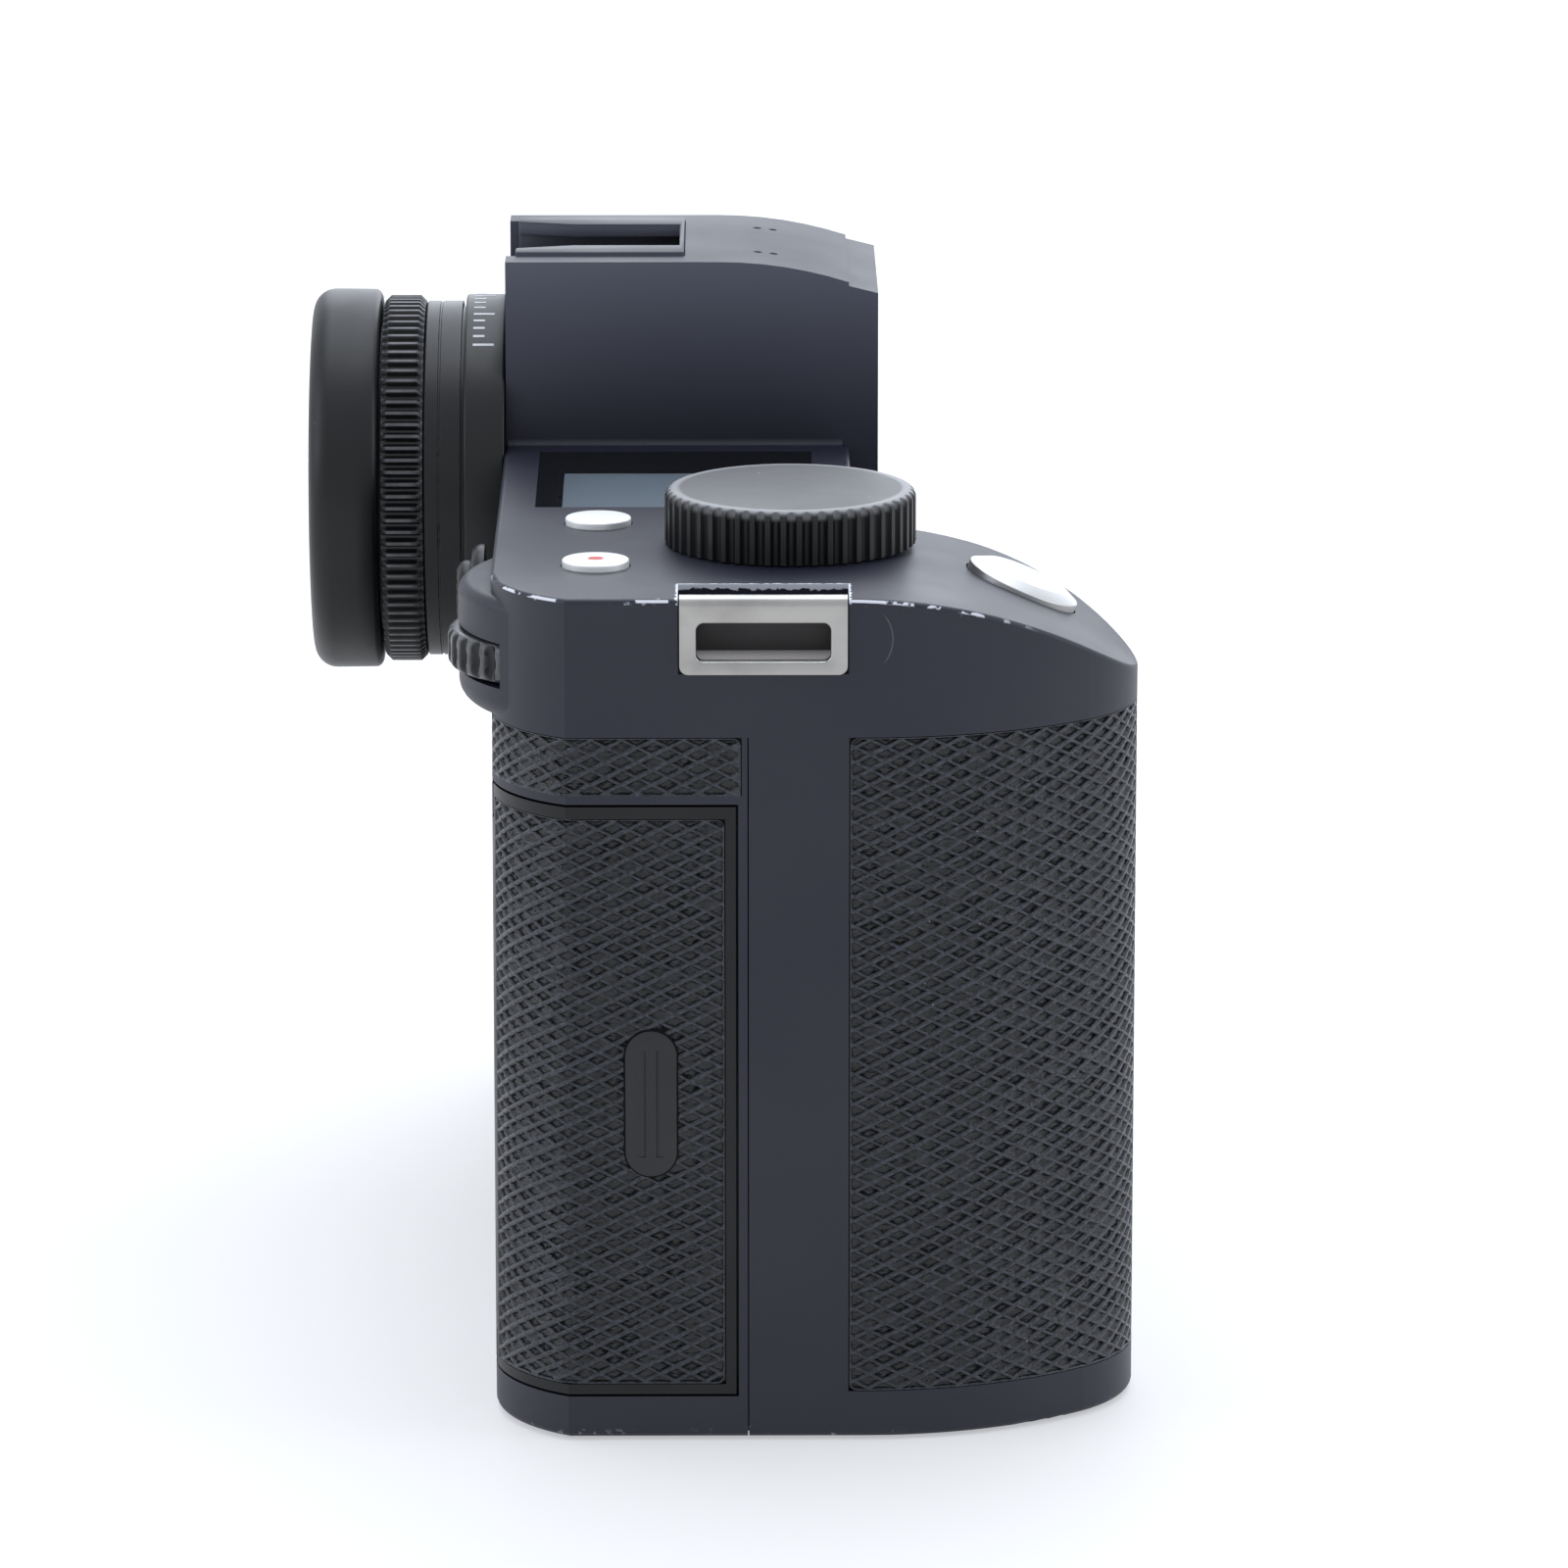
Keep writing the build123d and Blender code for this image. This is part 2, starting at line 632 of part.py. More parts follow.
def hump_solid(half, drop, rear_y, front_y, low_z):
    """Hump form between two side walls."""
    return Pos(-half, 0, 0) * extrude(hump_profile(drop, rear_y, front_y, low_z), amount=2 * half)


def slope_cutter(lift):
    """Everything above the slope of the grip, with the slope moved down by a wall."""
    r = SLOPE_R - lift
    end_y = NOSE_Y - 6
    lean = degrees(asin((SLOPE_START_Y - end_y) / r))
    centre = (SLOPE_START_Y, SLOPE_AXIS_Z)
    edges = [
        bend(centre, r, 90, 90 + lean),
        Line(polar(centre, r, 90 + lean), (end_y, TOP_Z + 20)),
        Line((end_y, TOP_Z + 20), (SLOPE_START_Y, TOP_Z + 20)),
        Line((SLOPE_START_Y, TOP_Z + 20), (SLOPE_START_Y, SLOPE_AXIS_Z + r)),
    ]
    return Pos(-BEYOND, 0, 0) * extrude(Plane.YZ * make_face(edges), amount=2 * BEYOND)


def wheel_bump():
    """Round housing of the thumb wheel, standing out of the rear corner."""
    profile = rod_z(BUMP_R, BUMP_X, BUMP_Y, COVER_Z, TOP_Z - BUMP_DROP)
    rims = profile.edges().filter_by(GeomType.CIRCLE).sort_by(Axis.Z)
    profile = fillet(rims[-1], BUMP_TOP_R)
    rims = profile.edges().filter_by(GeomType.CIRCLE).sort_by(Axis.Z)
    return fillet(rims[0], BUMP_LOW_R)


def lug_pocket():
    """Notch for a strap lug on the grip end, open at the top and at the side."""
    half = LUG_W / 2 + GAP
    x = (-GRIP_REACH - 1, -GRIP_REACH + POCKET_DEPTH)
    return block(x, (LUG_Y - half, LUG_Y + half), (LUG_LOW_Z, TOP_Z + 1))


def lug_housing():
    """Walls round the strap lug's notch."""
    half = LUG_W / 2 + GAP + 1.2
    x = (-GRIP_REACH, -GRIP_REACH + POCKET_DEPTH + 1.2)
    return block(x, (LUG_Y - half, LUG_Y + half), (LUG_LOW_Z - 1.2, TOP_Z))


def top_cover():
    """Milled top cover: plate, grip slope, wheel housing and finder hump in one piece."""
    outer = plate(0, COVER_Z, TOP_Z) - slope_cutter(0)
    flat = [f for f in outer.faces() if f.center().Z > COVER_Z + 1 and abs(f.normal_at().Z) > 0.6]
    rims = ShapeList(e for f in flat for e in f.edges())
    seam = [e for e in rims if abs(e.center().Y - SLOPE_START_Y) < 0.01 and e.length > 1]
    outer = fillet([e for e in rims if e not in seam], EDGE_R)
    outer += wheel_bump()
    outer += hump_solid(HUMP_HALF, 0, HUMP_REAR_Y, FRONT_Y, COVER_Z)
    cavity = plate(COVER_T, COVER_Z - 1, TOP_Z - COVER_T) - slope_cutter(COVER_T)
    walls = (HUMP_REAR_Y - HUMP_WALL, FRONT_Y + HUMP_WALL)
    cavity += hump_solid(HUMP_HALF - HUMP_WALL, SHOE_DEPTH + HUMP_WALL, *walls, COVER_Z - 1)
    housing = lug_housing()
    cover = outer - (cavity - housing - to_far_end(housing)) + stick_bosses()
    cover -= lug_pocket() + to_far_end(lug_pocket())
    half_slot = WHEEL_T / 2 + 2 * GAP
    cover -= rod_z(WHEEL_R + 0.4, WHEEL_X, WHEEL_Y, WHEEL_Z - half_slot, WHEEL_Z + half_slot)
    cover -= rod_z(SHAFT_R + FIT, DIAL_X, DIAL_Y, TOP_Z - 5, TOP_Z + 1)
    for x in BUTTON_X:
        cover -= rod_z(BUTTON_R + GAP, x, BUTTON_Y, TOP_Z - 1.0, TOP_Z + 1)
        cover -= rod_z(BUTTON_STEM_R + FIT, x, BUTTON_Y, TOP_Z - 5, TOP_Z)
    seat = Pos(0, 0, 2) * Cylinder(RELEASE_R + GAP, 7.4) + Cylinder(BUTTON_STEM_R + 0.8 + FIT, 20)
    cover -= RELEASE_SEAT * seat
    cover -= block(WINDOW_X, WINDOW_Y, (TOP_Z - WINDOW_T, TOP_Z + 1))
    cover -= block(PANEL_X, PANEL_Y, (TOP_Z - 5, TOP_Z))
    cover -= shoe_recess()
    cover -= rod_y(BARREL_R + FIT, 0, EYE_Z, REAR_Y - 5, REAR_Y + 1)
    cover -= rod_y(SLEEVE_R + FIT, 0, LENS_Z, FRONT_Y - 1, INNER_FRONT_Y + 1)
    cover -= rod_y(STICK_HOLE_R, STICK_X, STICK_Z, REAR_Y - 3, REAR_Y + 1)
    for y in MIC_Y:
        for x in (-MIC_X, MIC_X):
            cover -= rod_z(MIC_R, x, y, HUMP_Z - 4, HUMP_Z + 1)
    return cover


def shoe_recess():
    """Recess of the hot shoe, open to the rear."""
    y = (SHOE_FRONT_Y, HUMP_REAR_Y + 1)
    return block((-SHOE_HALF - FIT, SHOE_HALF + FIT), y, (HUMP_Z - SHOE_DEPTH, HUMP_Z + 1))


def hot_shoe():
    """Steel shoe: floor, two walls and their lips, which flare apart at the rear."""
    y = (SHOE_FRONT_Y + 0.1, HUMP_REAR_Y - SHOE_SETBACK)
    shoe = block((-SHOE_HALF, SHOE_HALF), y, (HUMP_Z - SHOE_DEPTH, HUMP_Z + SHOE_PROUD))
    slot_z = HUMP_Z - SHOE_DEPTH + SHOE_BASE_T
    slot_y = (y[0] + SHOE_STOP_T, HUMP_REAR_Y)
    shoe -= block((-SHOE_SLOT / 2, SHOE_SLOT / 2), slot_y, (slot_z, slot_z + SHOE_SLOT_H))
    shoe -= block((-SHOE_MOUTH / 2, SHOE_MOUTH / 2), slot_y, (slot_z, HUMP_Z + 1))
    narrow, wide = SHOE_MOUTH / 2, SHOE_MOUTH / 2 + SHOE_FLARE
    start = y[1] - SHOE_FLARE_LENGTH
    flare = Polygon((-narrow, start), (narrow, start), (wide, y[1]), (-wide, y[1]), align=None)
    return shoe - prism(flare, slot_z, HUMP_Z + 1)


def front_fascia():
    """Thin front plate: finder front, shoulders and the disc round the lens mount."""
    fall = HUMP_BREAK_Y - FRONT_Y
    top = HUMP_Z - (HUMP_FALL_R - sqrt(HUMP_FALL_R**2 - fall**2)) - FASCIA_STEP
    face = Pos(0, LENS_Z) * Circle(DISC_R)
    face += Polygon(
        (-HUMP_HALF, top),
        (-HUMP_HALF, TOP_Z - 4),
        (-DISC_R * 0.75, LENS_Z + DISC_R * 0.66),
        (DISC_R * 0.75, LENS_Z + DISC_R * 0.66),
        (HUMP_HALF, TOP_Z - 4),
        (HUMP_HALF, top),
        align=None,
    )
    fascia = Pos(0, FRONT_Y, 0) * extrude(Plane.XZ * face, amount=FASCIA_T)
    fascia -= rod_y(RING_R + FIT, 0, LENS_Z, -BEYOND, FLANGE_Y + RING_T)
    fascia -= rod_y(SLEEVE_R + FIT, 0, LENS_Z, -BEYOND, 0)
    lean = Pos(0, FRONT_Y, top) * Rot(14, 0, 0) * Pos(0, 0, 5) * Box(60, 60, 10)
    return fascia - lean - rod_y(LOCK_PIN_R + FIT, LOCK_X, LOCK_Z, -BEYOND, 0)


def base_plate():
    """Flat plate that closes the bottom, with holes for the socket, battery and catch."""
    base = plate(BASE_MARGIN, 0, BASE_T)
    base -= rod_z(SOCKET_FLANGE_R, 0, 0, -1, BASE_T + 1)
    base -= prism(battery_face(BATTERY_CAP_LIP + GAP), -1, BASE_T + 1)
    base -= rod_z(CATCH_R + GAP, CATCH_X, CATCH_Y, -1, BASE_T + 1)
    for x, y in BASE_SCREWS:
        base -= rod_z(SCREW_HEAD_R, x, y, -1, SCREW_HEAD_T) + rod_z(SCREW_R, x, y, 0, BASE_T + 1)
    return base


def tripod_socket():
    """Threaded bush with a flange flush in the base plate."""
    bush = rod_z(SOCKET_FLANGE_R, 0, 0, 0, BASE_T) + rod_z(SOCKET_R + 1.6, 0, 0, 0, SOCKET_DEPTH + 1.2)
    return bush - rod_z(SOCKET_R, 0, 0, -1, SOCKET_DEPTH)


def body_screw(x, y):
    """Small countersunk screw, head up from the base."""
    return rod_z(SCREW_HEAD_R, x, y, 0.1, SCREW_HEAD_T) + rod_z(SCREW_R, x, y, 0.1, FLOOR_Z - 0.3)


# Lens mount and sensor

def lens_mount_ring():
    """Steel bayonet ring: flange, sleeve and four tabs inside the throat."""
    y0, y1 = FLANGE_Y, FLANGE_Y + RING_T
    profile = [
        (THROAT_R, y0), (RING_R - RING_CHAMFER, y0), (RING_R, y0 + RING_CHAMFER), (RING_R, y1),
        (SLEEVE_R, y1), (SLEEVE_R, INNER_FRONT_Y), (THROAT_R, INNER_FRONT_Y),
    ]
    ring = turned(profile, 0, LENS_Z)
    for i in range(TAB_COUNT):
        start = i * 360 / TAB_COUNT + TAB_START
        tab = extrude(Plane.XZ * arc_bar(TAB_R, THROAT_R + 0.2, start, start + TAB_ANGLE), amount=TAB_T)
        ring += Pos(0, FLANGE_Y + TAB_T + 0.3, LENS_Z) * tab
    for x, z in mount_screw_places():
        ring -= rod_y(MOUNT_SCREW_R, x, z, FLANGE_Y - 1, INNER_FRONT_Y)
    return ring - rod_y(LOCK_PIN_R + FIT, LOCK_X, LOCK_Z, FLANGE_Y - 1, INNER_FRONT_Y)


def mount_screw_places():
    """Places of the screws round the mount, in X and Z."""
    step = 360 / MOUNT_SCREWS
    return [polar((0, LENS_Z), MOUNT_SCREW_PCR, 45 + i * step) for i in range(MOUNT_SCREWS)]


def mount_screw(x, z):
    """Screw of the mount ring, flush with the flange."""
    return rod_y(MOUNT_SCREW_R, x, z, FLANGE_Y + 0.15, FLANGE_Y + RING_T)


def mount_contacts():
    """Contact block at the foot of the throat, with a row of pins."""
    bar = arc_bar(THROAT_R - CONTACT_ARC_T, THROAT_R, *CONTACT_SPAN)
    length = INNER_FRONT_Y - FLANGE_Y - CONTACT_SET_BACK
    holder = Pos(0, INNER_FRONT_Y, LENS_Z) * extrude(Plane.XZ * bar, amount=length)
    first = CONTACT_SPAN[0] + CONTACT_MARGIN
    step = (CONTACT_SPAN[1] - CONTACT_MARGIN - first) / (CONTACT_COUNT - 1)
    for i in range(CONTACT_COUNT):
        x, z = polar((0, LENS_Z), THROAT_R - CONTACT_ARC_T / 2, first + i * step)
        y = (INNER_FRONT_Y - length - CONTACT_RISE, INNER_FRONT_Y - length + 0.1)
        half = CONTACT_W / 2
        holder += block((x - half, x + half), y, (z - half, z + half))
    return holder


def inner_chassis():
    """Cast frame behind the front wall, with four stepped posts for the sensor and the board."""
    z = (CHASSIS_LOW_Z, COVER_Z - 1)
    frame = block((-CHASSIS_HALF, CHASSIS_HALF), (INNER_FRONT_Y, CHASSIS_Y), z)
    frame -= rod_y(SLEEVE_R + FIT, 0, LENS_Z, INNER_FRONT_Y - 1, CHASSIS_Y + 1)
    frame -= rod_y(LOCK_PIN_R + FIT, LOCK_X, LOCK_Z, INNER_FRONT_Y - 1, INNER_FRONT_Y + 3)
    for x, z in POSTS:
        frame += rod_y(POST_R, x, z, CHASSIS_Y - 1, PACKAGE_REAR_Y)
        frame += rod_y(POST_TIP_R, x, z, PACKAGE_REAR_Y - 1, BOARD_Y)
    return frame


def light_baffle():
    """Black block in the throat with a funnel that narrows to the film gate."""
    shell = rod_y(SLEEVE_R, 0, LENS_Z, INNER_FRONT_Y, CHASSIS_Y)
    mouth = Plane.XZ * RectangleRounded(BAFFLE_W, BAFFLE_H, BAFFLE_R)
    gate = Plane.XZ * RectangleRounded(GATE_W + 1, GATE_H + 1, 2)
    ends = [Pos(0, INNER_FRONT_Y - 0.1, LENS_Z) * mouth, Pos(0, CHASSIS_Y + 0.1, LENS_Z) * gate]
    return shell - loft([end.face() for end in ends])


def shutter_frame():
    """Shutter housing with its gate and the slot that the leaves run in."""
    low = LENS_Z - SHUTTER_H / 2 - 9
    frame = block((-SHUTTER_W / 2, SHUTTER_W / 2), (CHASSIS_Y, SHUTTER_Y), (low, low + SHUTTER_H))
    gate_z = (LENS_Z - GATE_H / 2, LENS_Z + GATE_H / 2)
    frame -= block((-GATE_W / 2, GATE_W / 2), (CHASSIS_Y - 1, SHUTTER_Y + 1), gate_z)
    slot_y = (CHASSIS_Y + 1.2, CHASSIS_Y + 1.2 + 2 * LEAF_PITCH + 0.3)
    slot_z = (LENS_Z - GATE_H / 2 - 14.5, LENS_Z + GATE_H / 2 + 1.0)
    return frame - block((-GATE_W / 2 - 3, GATE_W / 2 + 3), slot_y, slot_z)


def shutter_leaf(index):
    """One blade of the shutter, parked below the gate."""
    y = CHASSIS_Y + 1.35 + index * LEAF_PITCH
    top = LENS_Z - GATE_H / 2 - 0.3
    return block((-GATE_W / 2 - 2.85, GATE_W / 2 + 2.85), (y, y + LEAF_T), (top - 13.6, top))


def sensor_glass():
    """Filter glass on the front of the sensor package."""
    y = (PACKAGE_FRONT_Y - GLASS_T, PACKAGE_FRONT_Y)
    return sensor_block(GLASS_MARGIN, GLASS_MARGIN, y)


def sensor_block(margin_x, margin_z, y):
    """Block round the sensor's place, wider than it by a margin on each side."""
    half_w, half_h = SENSOR_W / 2 + margin_x, SENSOR_H / 2 + margin_z
    return block((-half_w, half_w), y, (LENS_Z - half_h, LENS_Z + half_h))


def sensor_package():
    """Ceramic package with the recess that holds the sensor."""
    package = sensor_block(*PACKAGE_MARGIN, (PACKAGE_FRONT_Y, PACKAGE_REAR_Y))
    return package - sensor_block(RECESS_MARGIN, RECESS_MARGIN, (PACKAGE_FRONT_Y - 1, SENSOR_Y + SENSOR_T))


def image_sensor():
    """Full frame sensor, its face one flange distance behind the mount."""
    return sensor_block(0, 0, (SENSOR_Y, SENSOR_Y + SENSOR_T))


def sensor_plate():
    """Steel plate that carries the package on the chassis posts."""
    z = (POST_LOW_Z - 4, POST_HIGH_Z + 2.5)
    steel = block((-POST_X - 3.5, POST_X + 3.5), (PACKAGE_REAR_Y, PLATE_REAR_Y), z)
    for x, z in POSTS:
        steel -= rod_y(POST_TIP_R + FIT, x, z, PACKAGE_REAR_Y - 1, PLATE_REAR_Y + 1)
    return steel


def main_board():
    """Circuit board on the post ends, with its large chips."""
    board = block((-BOARD_HALF, BOARD_HALF), (BOARD_Y, BOARD_Y + BOARD_T), (POST_LOW_Z - 4, POST_HIGH_Z + 3))
    for x, z, size in ((-18, 40, 15), (8, 28, 12), (24, 46, 9)):
        half = size / 2
        y = (BOARD_Y + BOARD_T - 0.1, BOARD_Y + BOARD_T + 1.2)
        board += block((x - half, x + half), y, (z - half, z + half))
    return board


# Eyepiece

def eyepiece_barrel():
    """Finder tube with its scale collar, stepped neck and rear spigot."""
    collar_end = REAR_Y + COLLAR_T
    profile = [
        (BARREL_BORE, BOARD_Y), (BARREL_R, BOARD_Y), (BARREL_R, REAR_Y), (COLLAR_R - 0.3, REAR_Y),
        (COLLAR_R, REAR_Y + 0.3), (COLLAR_R, collar_end - 0.3), (COLLAR_R - 0.3, collar_end),
        (NECK_R - 0.6, collar_end), (NECK_R - 0.6, collar_end + 0.4), (NECK_R - 0.1, collar_end + 0.4),
        (NECK_R - 0.1, collar_end + 2.1), (NECK_R, collar_end + 2.1), (NECK_R, SPIGOT_START_Y),
        (SPIGOT_R, SPIGOT_START_Y), (SPIGOT_R, SPIGOT_END_Y), (LENS_R + 0.8, SPIGOT_END_Y),
        (LENS_R, SPIGOT_END_Y - 0.6), (LENS_R, SPIGOT_START_Y + 1), (BARREL_BORE, SPIGOT_START_Y + 1),
    ]
    return turned(profile, 0, EYE_Z)


def eyepiece_lens():
    """Rear lens of the finder, bulged on both sides, on its ledge in the spigot."""
    front, rear = SPIGOT_START_Y + 1.0, SPIGOT_START_Y + 5.2
    edges = [
        Line((0, front), (LENS_R, front)),
        Line((LENS_R, front), (LENS_R, rear)),
        crown(LENS_R, rear, LENS_CROWN),
        Line((0, rear + LENS_CROWN), (0, front)),
    ]
    return Pos(0, 0, EYE_Z) * revolve(make_face(edges), axis=Axis.Y)


def evf_display():
    """Finder display, closing the inner end of the barrel."""
    return block((-BARREL_R, BARREL_R), (BOARD_Y - 1.6, BOARD_Y), (COVER_Z + 1, EYE_Z + BARREL_R - 2))


def diopter_ring():
    """Knurled ring: ridges cut by notches round the rim."""
    y0, y1 = RING_START_Y, RING_START_Y + DIOPTER_T
    inner = SPIGOT_R + FIT
    ring = turned([(inner, y0), (DIOPTER_R, y0), (DIOPTER_R, y1), (inner, y1)], 0, EYE_Z)
    return ring - notches(DIOPTER_R, DIOPTER_RIDGES, RIDGE_DEPTH, RIDGE_HALF, (y0 - 1, y1 + 1))


def notches(r, count, depth, half_width, y):
    """Ring of wedge cuts about a line along Y through the eyepiece."""
    wedge = Polygon((r - depth, 0), (r + 0.4, -half_width * 1.4), (r + 0.4, half_width * 1.4), align=None)
    faces = Sketch() + [Rot(0, 0, i * 360 / count) * wedge for i in range(count)]
    return Pos(0, y[1], EYE_Z) * extrude(Plane.XZ * faces, amount=y[1] - y[0])


def eyecup():
    """Soft cup that clips on the spigot, with a rounded rear lip."""
    y0, y1 = CUP_START_Y, CUP_START_Y + EYECUP_T
    inner = SPIGOT_R
    edges = [
        Line((inner, y0), (EYECUP_R - 0.9, y0)),
        Line((EYECUP_R - 0.9, y0), (EYECUP_R, y0 + 2.4)),
        Line((EYECUP_R, y0 + 2.4), (EYECUP_R, y1 - 1.6)),
        ThreePointArc((EYECUP_R, y1 - 1.6), (EYECUP_R - 0.47, y1 - 0.47), (EYECUP_R - 1.6, y1)),
        Line((EYECUP_R - 1.6, y1), (EYECUP_HOLE_R + 3.2, y1)),
        Line((EYECUP_HOLE_R + 3.2, y1), (EYECUP_HOLE_R, SPIGOT_END_Y)),
        Line((EYECUP_HOLE_R, SPIGOT_END_Y), (inner, SPIGOT_END_Y)),
        Line((inner, SPIGOT_END_Y), (inner, y0)),
    ]
    return Pos(0, 0, EYE_Z) * revolve(make_face(edges), axis=Axis.Y)


# Top plate controls

def flutes(r, count, depth, z_low, z_high):
    """Wedge cuts down the side of an upright disc."""
    half = pi * r / count * 0.55
    wedge = Polygon((r - depth, 0), (r + 0.3, -half), (r + 0.3, half), align=None)
    cuts = Sketch() + [Rot(0, 0, i * 360 / count) * wedge for i in range(count)]
    return prism(cuts, z_low, z_high)


def top_dial():
    """Fluted dial on its shaft."""
    low = TOP_Z + DIAL_LIFT
    high = low + DIAL_H
    rim = high - DIAL_CHAMFER
    dial = upright([(0, low), (DIAL_R, low), (DIAL_R, rim), (DIAL_R - DIAL_CHAMFER, high), (0, high)], 0, 0)
    dial -= flutes(DIAL_R, DIAL_FLUTES, FLUTE_DEPTH, low - 1, rim - 0.15)
    shaft = rod_z(SHAFT_R, 0, 0, TOP_Z - 5, low + 0.5)
    return Pos(DIAL_X, DIAL_Y, 0) * (dial + shaft)


def thumb_wheel():
    """Ribbed wheel that turns on a vertical pin."""
    low, high = WHEEL_Z - WHEEL_T / 2, WHEEL_Z + WHEEL_T / 2
    bore = AXLE_R + FIT
    wheel = upright([(bore, low), (WHEEL_R, low), (WHEEL_R, high), (bore, high)], 0, 0)
    wheel -= flutes(WHEEL_R, WHEEL_RIBS, WHEEL_RIB_DEPTH, low - 1, high + 1)
    return Pos(WHEEL_X, WHEEL_Y, 0) * wheel


def thumb_wheel_bracket():
    """Shelf below the wheel, screwed to the rear wall, with the wheel's pin."""
    shelf_z = (WHEEL_Z - WHEEL_T / 2 - 1.8, WHEEL_Z - WHEEL_T / 2 - 0.4)
    shelf = block((WHEEL_X - 4, WHEEL_X + 6), (WHEEL_Y - 9, REAR_Y - COVER_T), shelf_z)
    return shelf + rod_z(AXLE_R, WHEEL_X, WHEEL_Y, shelf_z[0], WHEEL_Z + WHEEL_T / 2 + 0.5)


def round_button(x):
    """Domed button with its stem through the top plate."""
    low, rim, dome = TOP_Z - BUTTON_SINK, TOP_Z + BUTTON_RISE - BUTTON_DOME, BUTTON_DOME
    edges = [
        Line((0, low), (BUTTON_R, low)),
        Line((BUTTON_R, low), (BUTTON_R, rim)),
        crown(BUTTON_R, rim, dome),
        Line((0, rim + dome), (0, low)),
    ]
    cap = revolve(Plane.XZ * make_face(edges), axis=Axis.Z)
    return Pos(x, BUTTON_Y, 0) * (cap + rod_z(BUTTON_STEM_R, 0, 0, TOP_Z - 4, low + 0.1))


def shutter_button():
    """Bevelled release on the slope, with a shallow dish and its stem."""
    rise, dish_r = RELEASE_RISE, RELEASE_R - RELEASE_BEVEL
    edges = [
        Line((0, -0.5), (RELEASE_R, -0.5)),
        Line((RELEASE_R, -0.5), (RELEASE_R, rise - 0.7)),
        Line((RELEASE_R, rise - 0.7), (dish_r, rise)),
        crown(dish_r, rise, -RELEASE_DISH),
        Line((0, rise - RELEASE_DISH), (0, -0.5)),
    ]
    cap = revolve(Plane.XZ * make_face(edges), axis=Axis.Z)
    return RELEASE_SEAT * (cap + rod_z(BUTTON_STEM_R + 0.8, 0, 0, -5.2, -0.4))


def display_glass():
    """Cover glass of the top display, flush in the plate."""
    x = (WINDOW_X[0] + 0.05, WINDOW_X[1] - 0.05)
    y = (WINDOW_Y[0] + 0.05, WINDOW_Y[1] - 0.05)
    return block(x, y, (TOP_Z - WINDOW_T, TOP_Z - 0.05))


def display_panel():
    """Reflective panel below the glass."""
    z_high = TOP_Z - WINDOW_T
    x = (PANEL_X[0] + FIT, PANEL_X[1] - FIT)
    return block(x, (PANEL_Y[0] + FIT, PANEL_Y[1] - FIT), (z_high - PANEL_T, z_high))


# Joystick

def stick_bosses():
    """Two ears inside the rear wall that hold the gimbal's pins."""
    y = (REAR_Y - PIVOT_DEPTH - 1.4, REAR_Y - COVER_T + 0.1)
    ears = Part()
    for sign in (-1, 1):
        x = sorted((STICK_X + sign * (GIMBAL_R + 0.4), STICK_X + sign * (GIMBAL_R + 2.4)))
        ears += block(x, y, (STICK_Z - 1.8, STICK_Z + 1.8))
    return ears - rod_x(PIN_R + FIT, REAR_Y - PIVOT_DEPTH, STICK_Z, STICK_X - 9, STICK_X + 9)


def joystick_gimbal():
    """Ring with two side pins, tilting up and down."""
    y = REAR_Y - PIVOT_DEPTH
    section = [(GIMBAL_BORE, y - 1), (GIMBAL_R, y - 1), (GIMBAL_R, y + 1), (GIMBAL_BORE, y + 1)]
    ring = turned(section, STICK_X, STICK_Z)
    ring -= rod_z(PIN_R + FIT, STICK_X, y, STICK_Z - 9, STICK_Z + 9)
    for sign in (-1, 1):
        x = sorted((STICK_X + sign * (GIMBAL_BORE + 0.6), STICK_X + sign * (GIMBAL_R + 2.2)))
        ring += rod_x(PIN_R, y, STICK_Z, *x)
    return ring


def joystick():
    """Dished cap on a slim neck, with an upright cross pin in the gimbal."""
    pivot = REAR_Y - PIVOT_DEPTH
    seat = REAR_Y + 1.1
    profile = [
        (0, pivot - 1.2), (STICK_NECK_R, pivot - 1.2), (STICK_NECK_R, seat), (STICK_R - 0.8, seat),
        (STICK_R, seat + 0.8), (STICK_R, seat + 2.2), (STICK_R - 0.9, seat + 3.0),
        (STICK_R - 2.2, seat + 2.7), (0, seat + 2.3),
    ]
    reach = GIMBAL_R - 0.1
    pin = rod_z(PIN_R, STICK_X, pivot, STICK_Z - reach, STICK_Z + reach)
    return turned(profile, STICK_X, STICK_Z) + pin


# Strap lugs

def strap_lug():
    """Bent steel frame: window plate at the side and a foot on the pocket's floor."""
    half = LUG_W / 2
    x = (-GRIP_REACH - LUG_PROUD, -GRIP_REACH - LUG_PROUD + LUG_T)
    frame = block(x, (LUG_Y - half, LUG_Y + half), (LUG_LOW_Z, LUG_HIGH_Z))
    corners = frame.edges().filter_by(Axis.X).sort_by(Axis.Z)[:2]
    frame = fillet(corners, 0.9)
    hole_z = (LUG_WINDOW_LOW, LUG_WINDOW_LOW + LUG_WINDOW_H)
    hole = block((x[0] - 1, x[1] + 1), (LUG_Y - LUG_WINDOW_W / 2, LUG_Y + LUG_WINDOW_W / 2), hole_z)
    hole = fillet(hole.edges().filter_by(Axis.X), 0.9)
    foot_x = (x[1] - 0.1, -GRIP_REACH + POCKET_DEPTH - 0.2)
    foot = block(foot_x, (LUG_Y - half, LUG_Y + half), (LUG_LOW_Z, LUG_LOW_Z + 1.0))
    return frame - hole + foot


# Doors

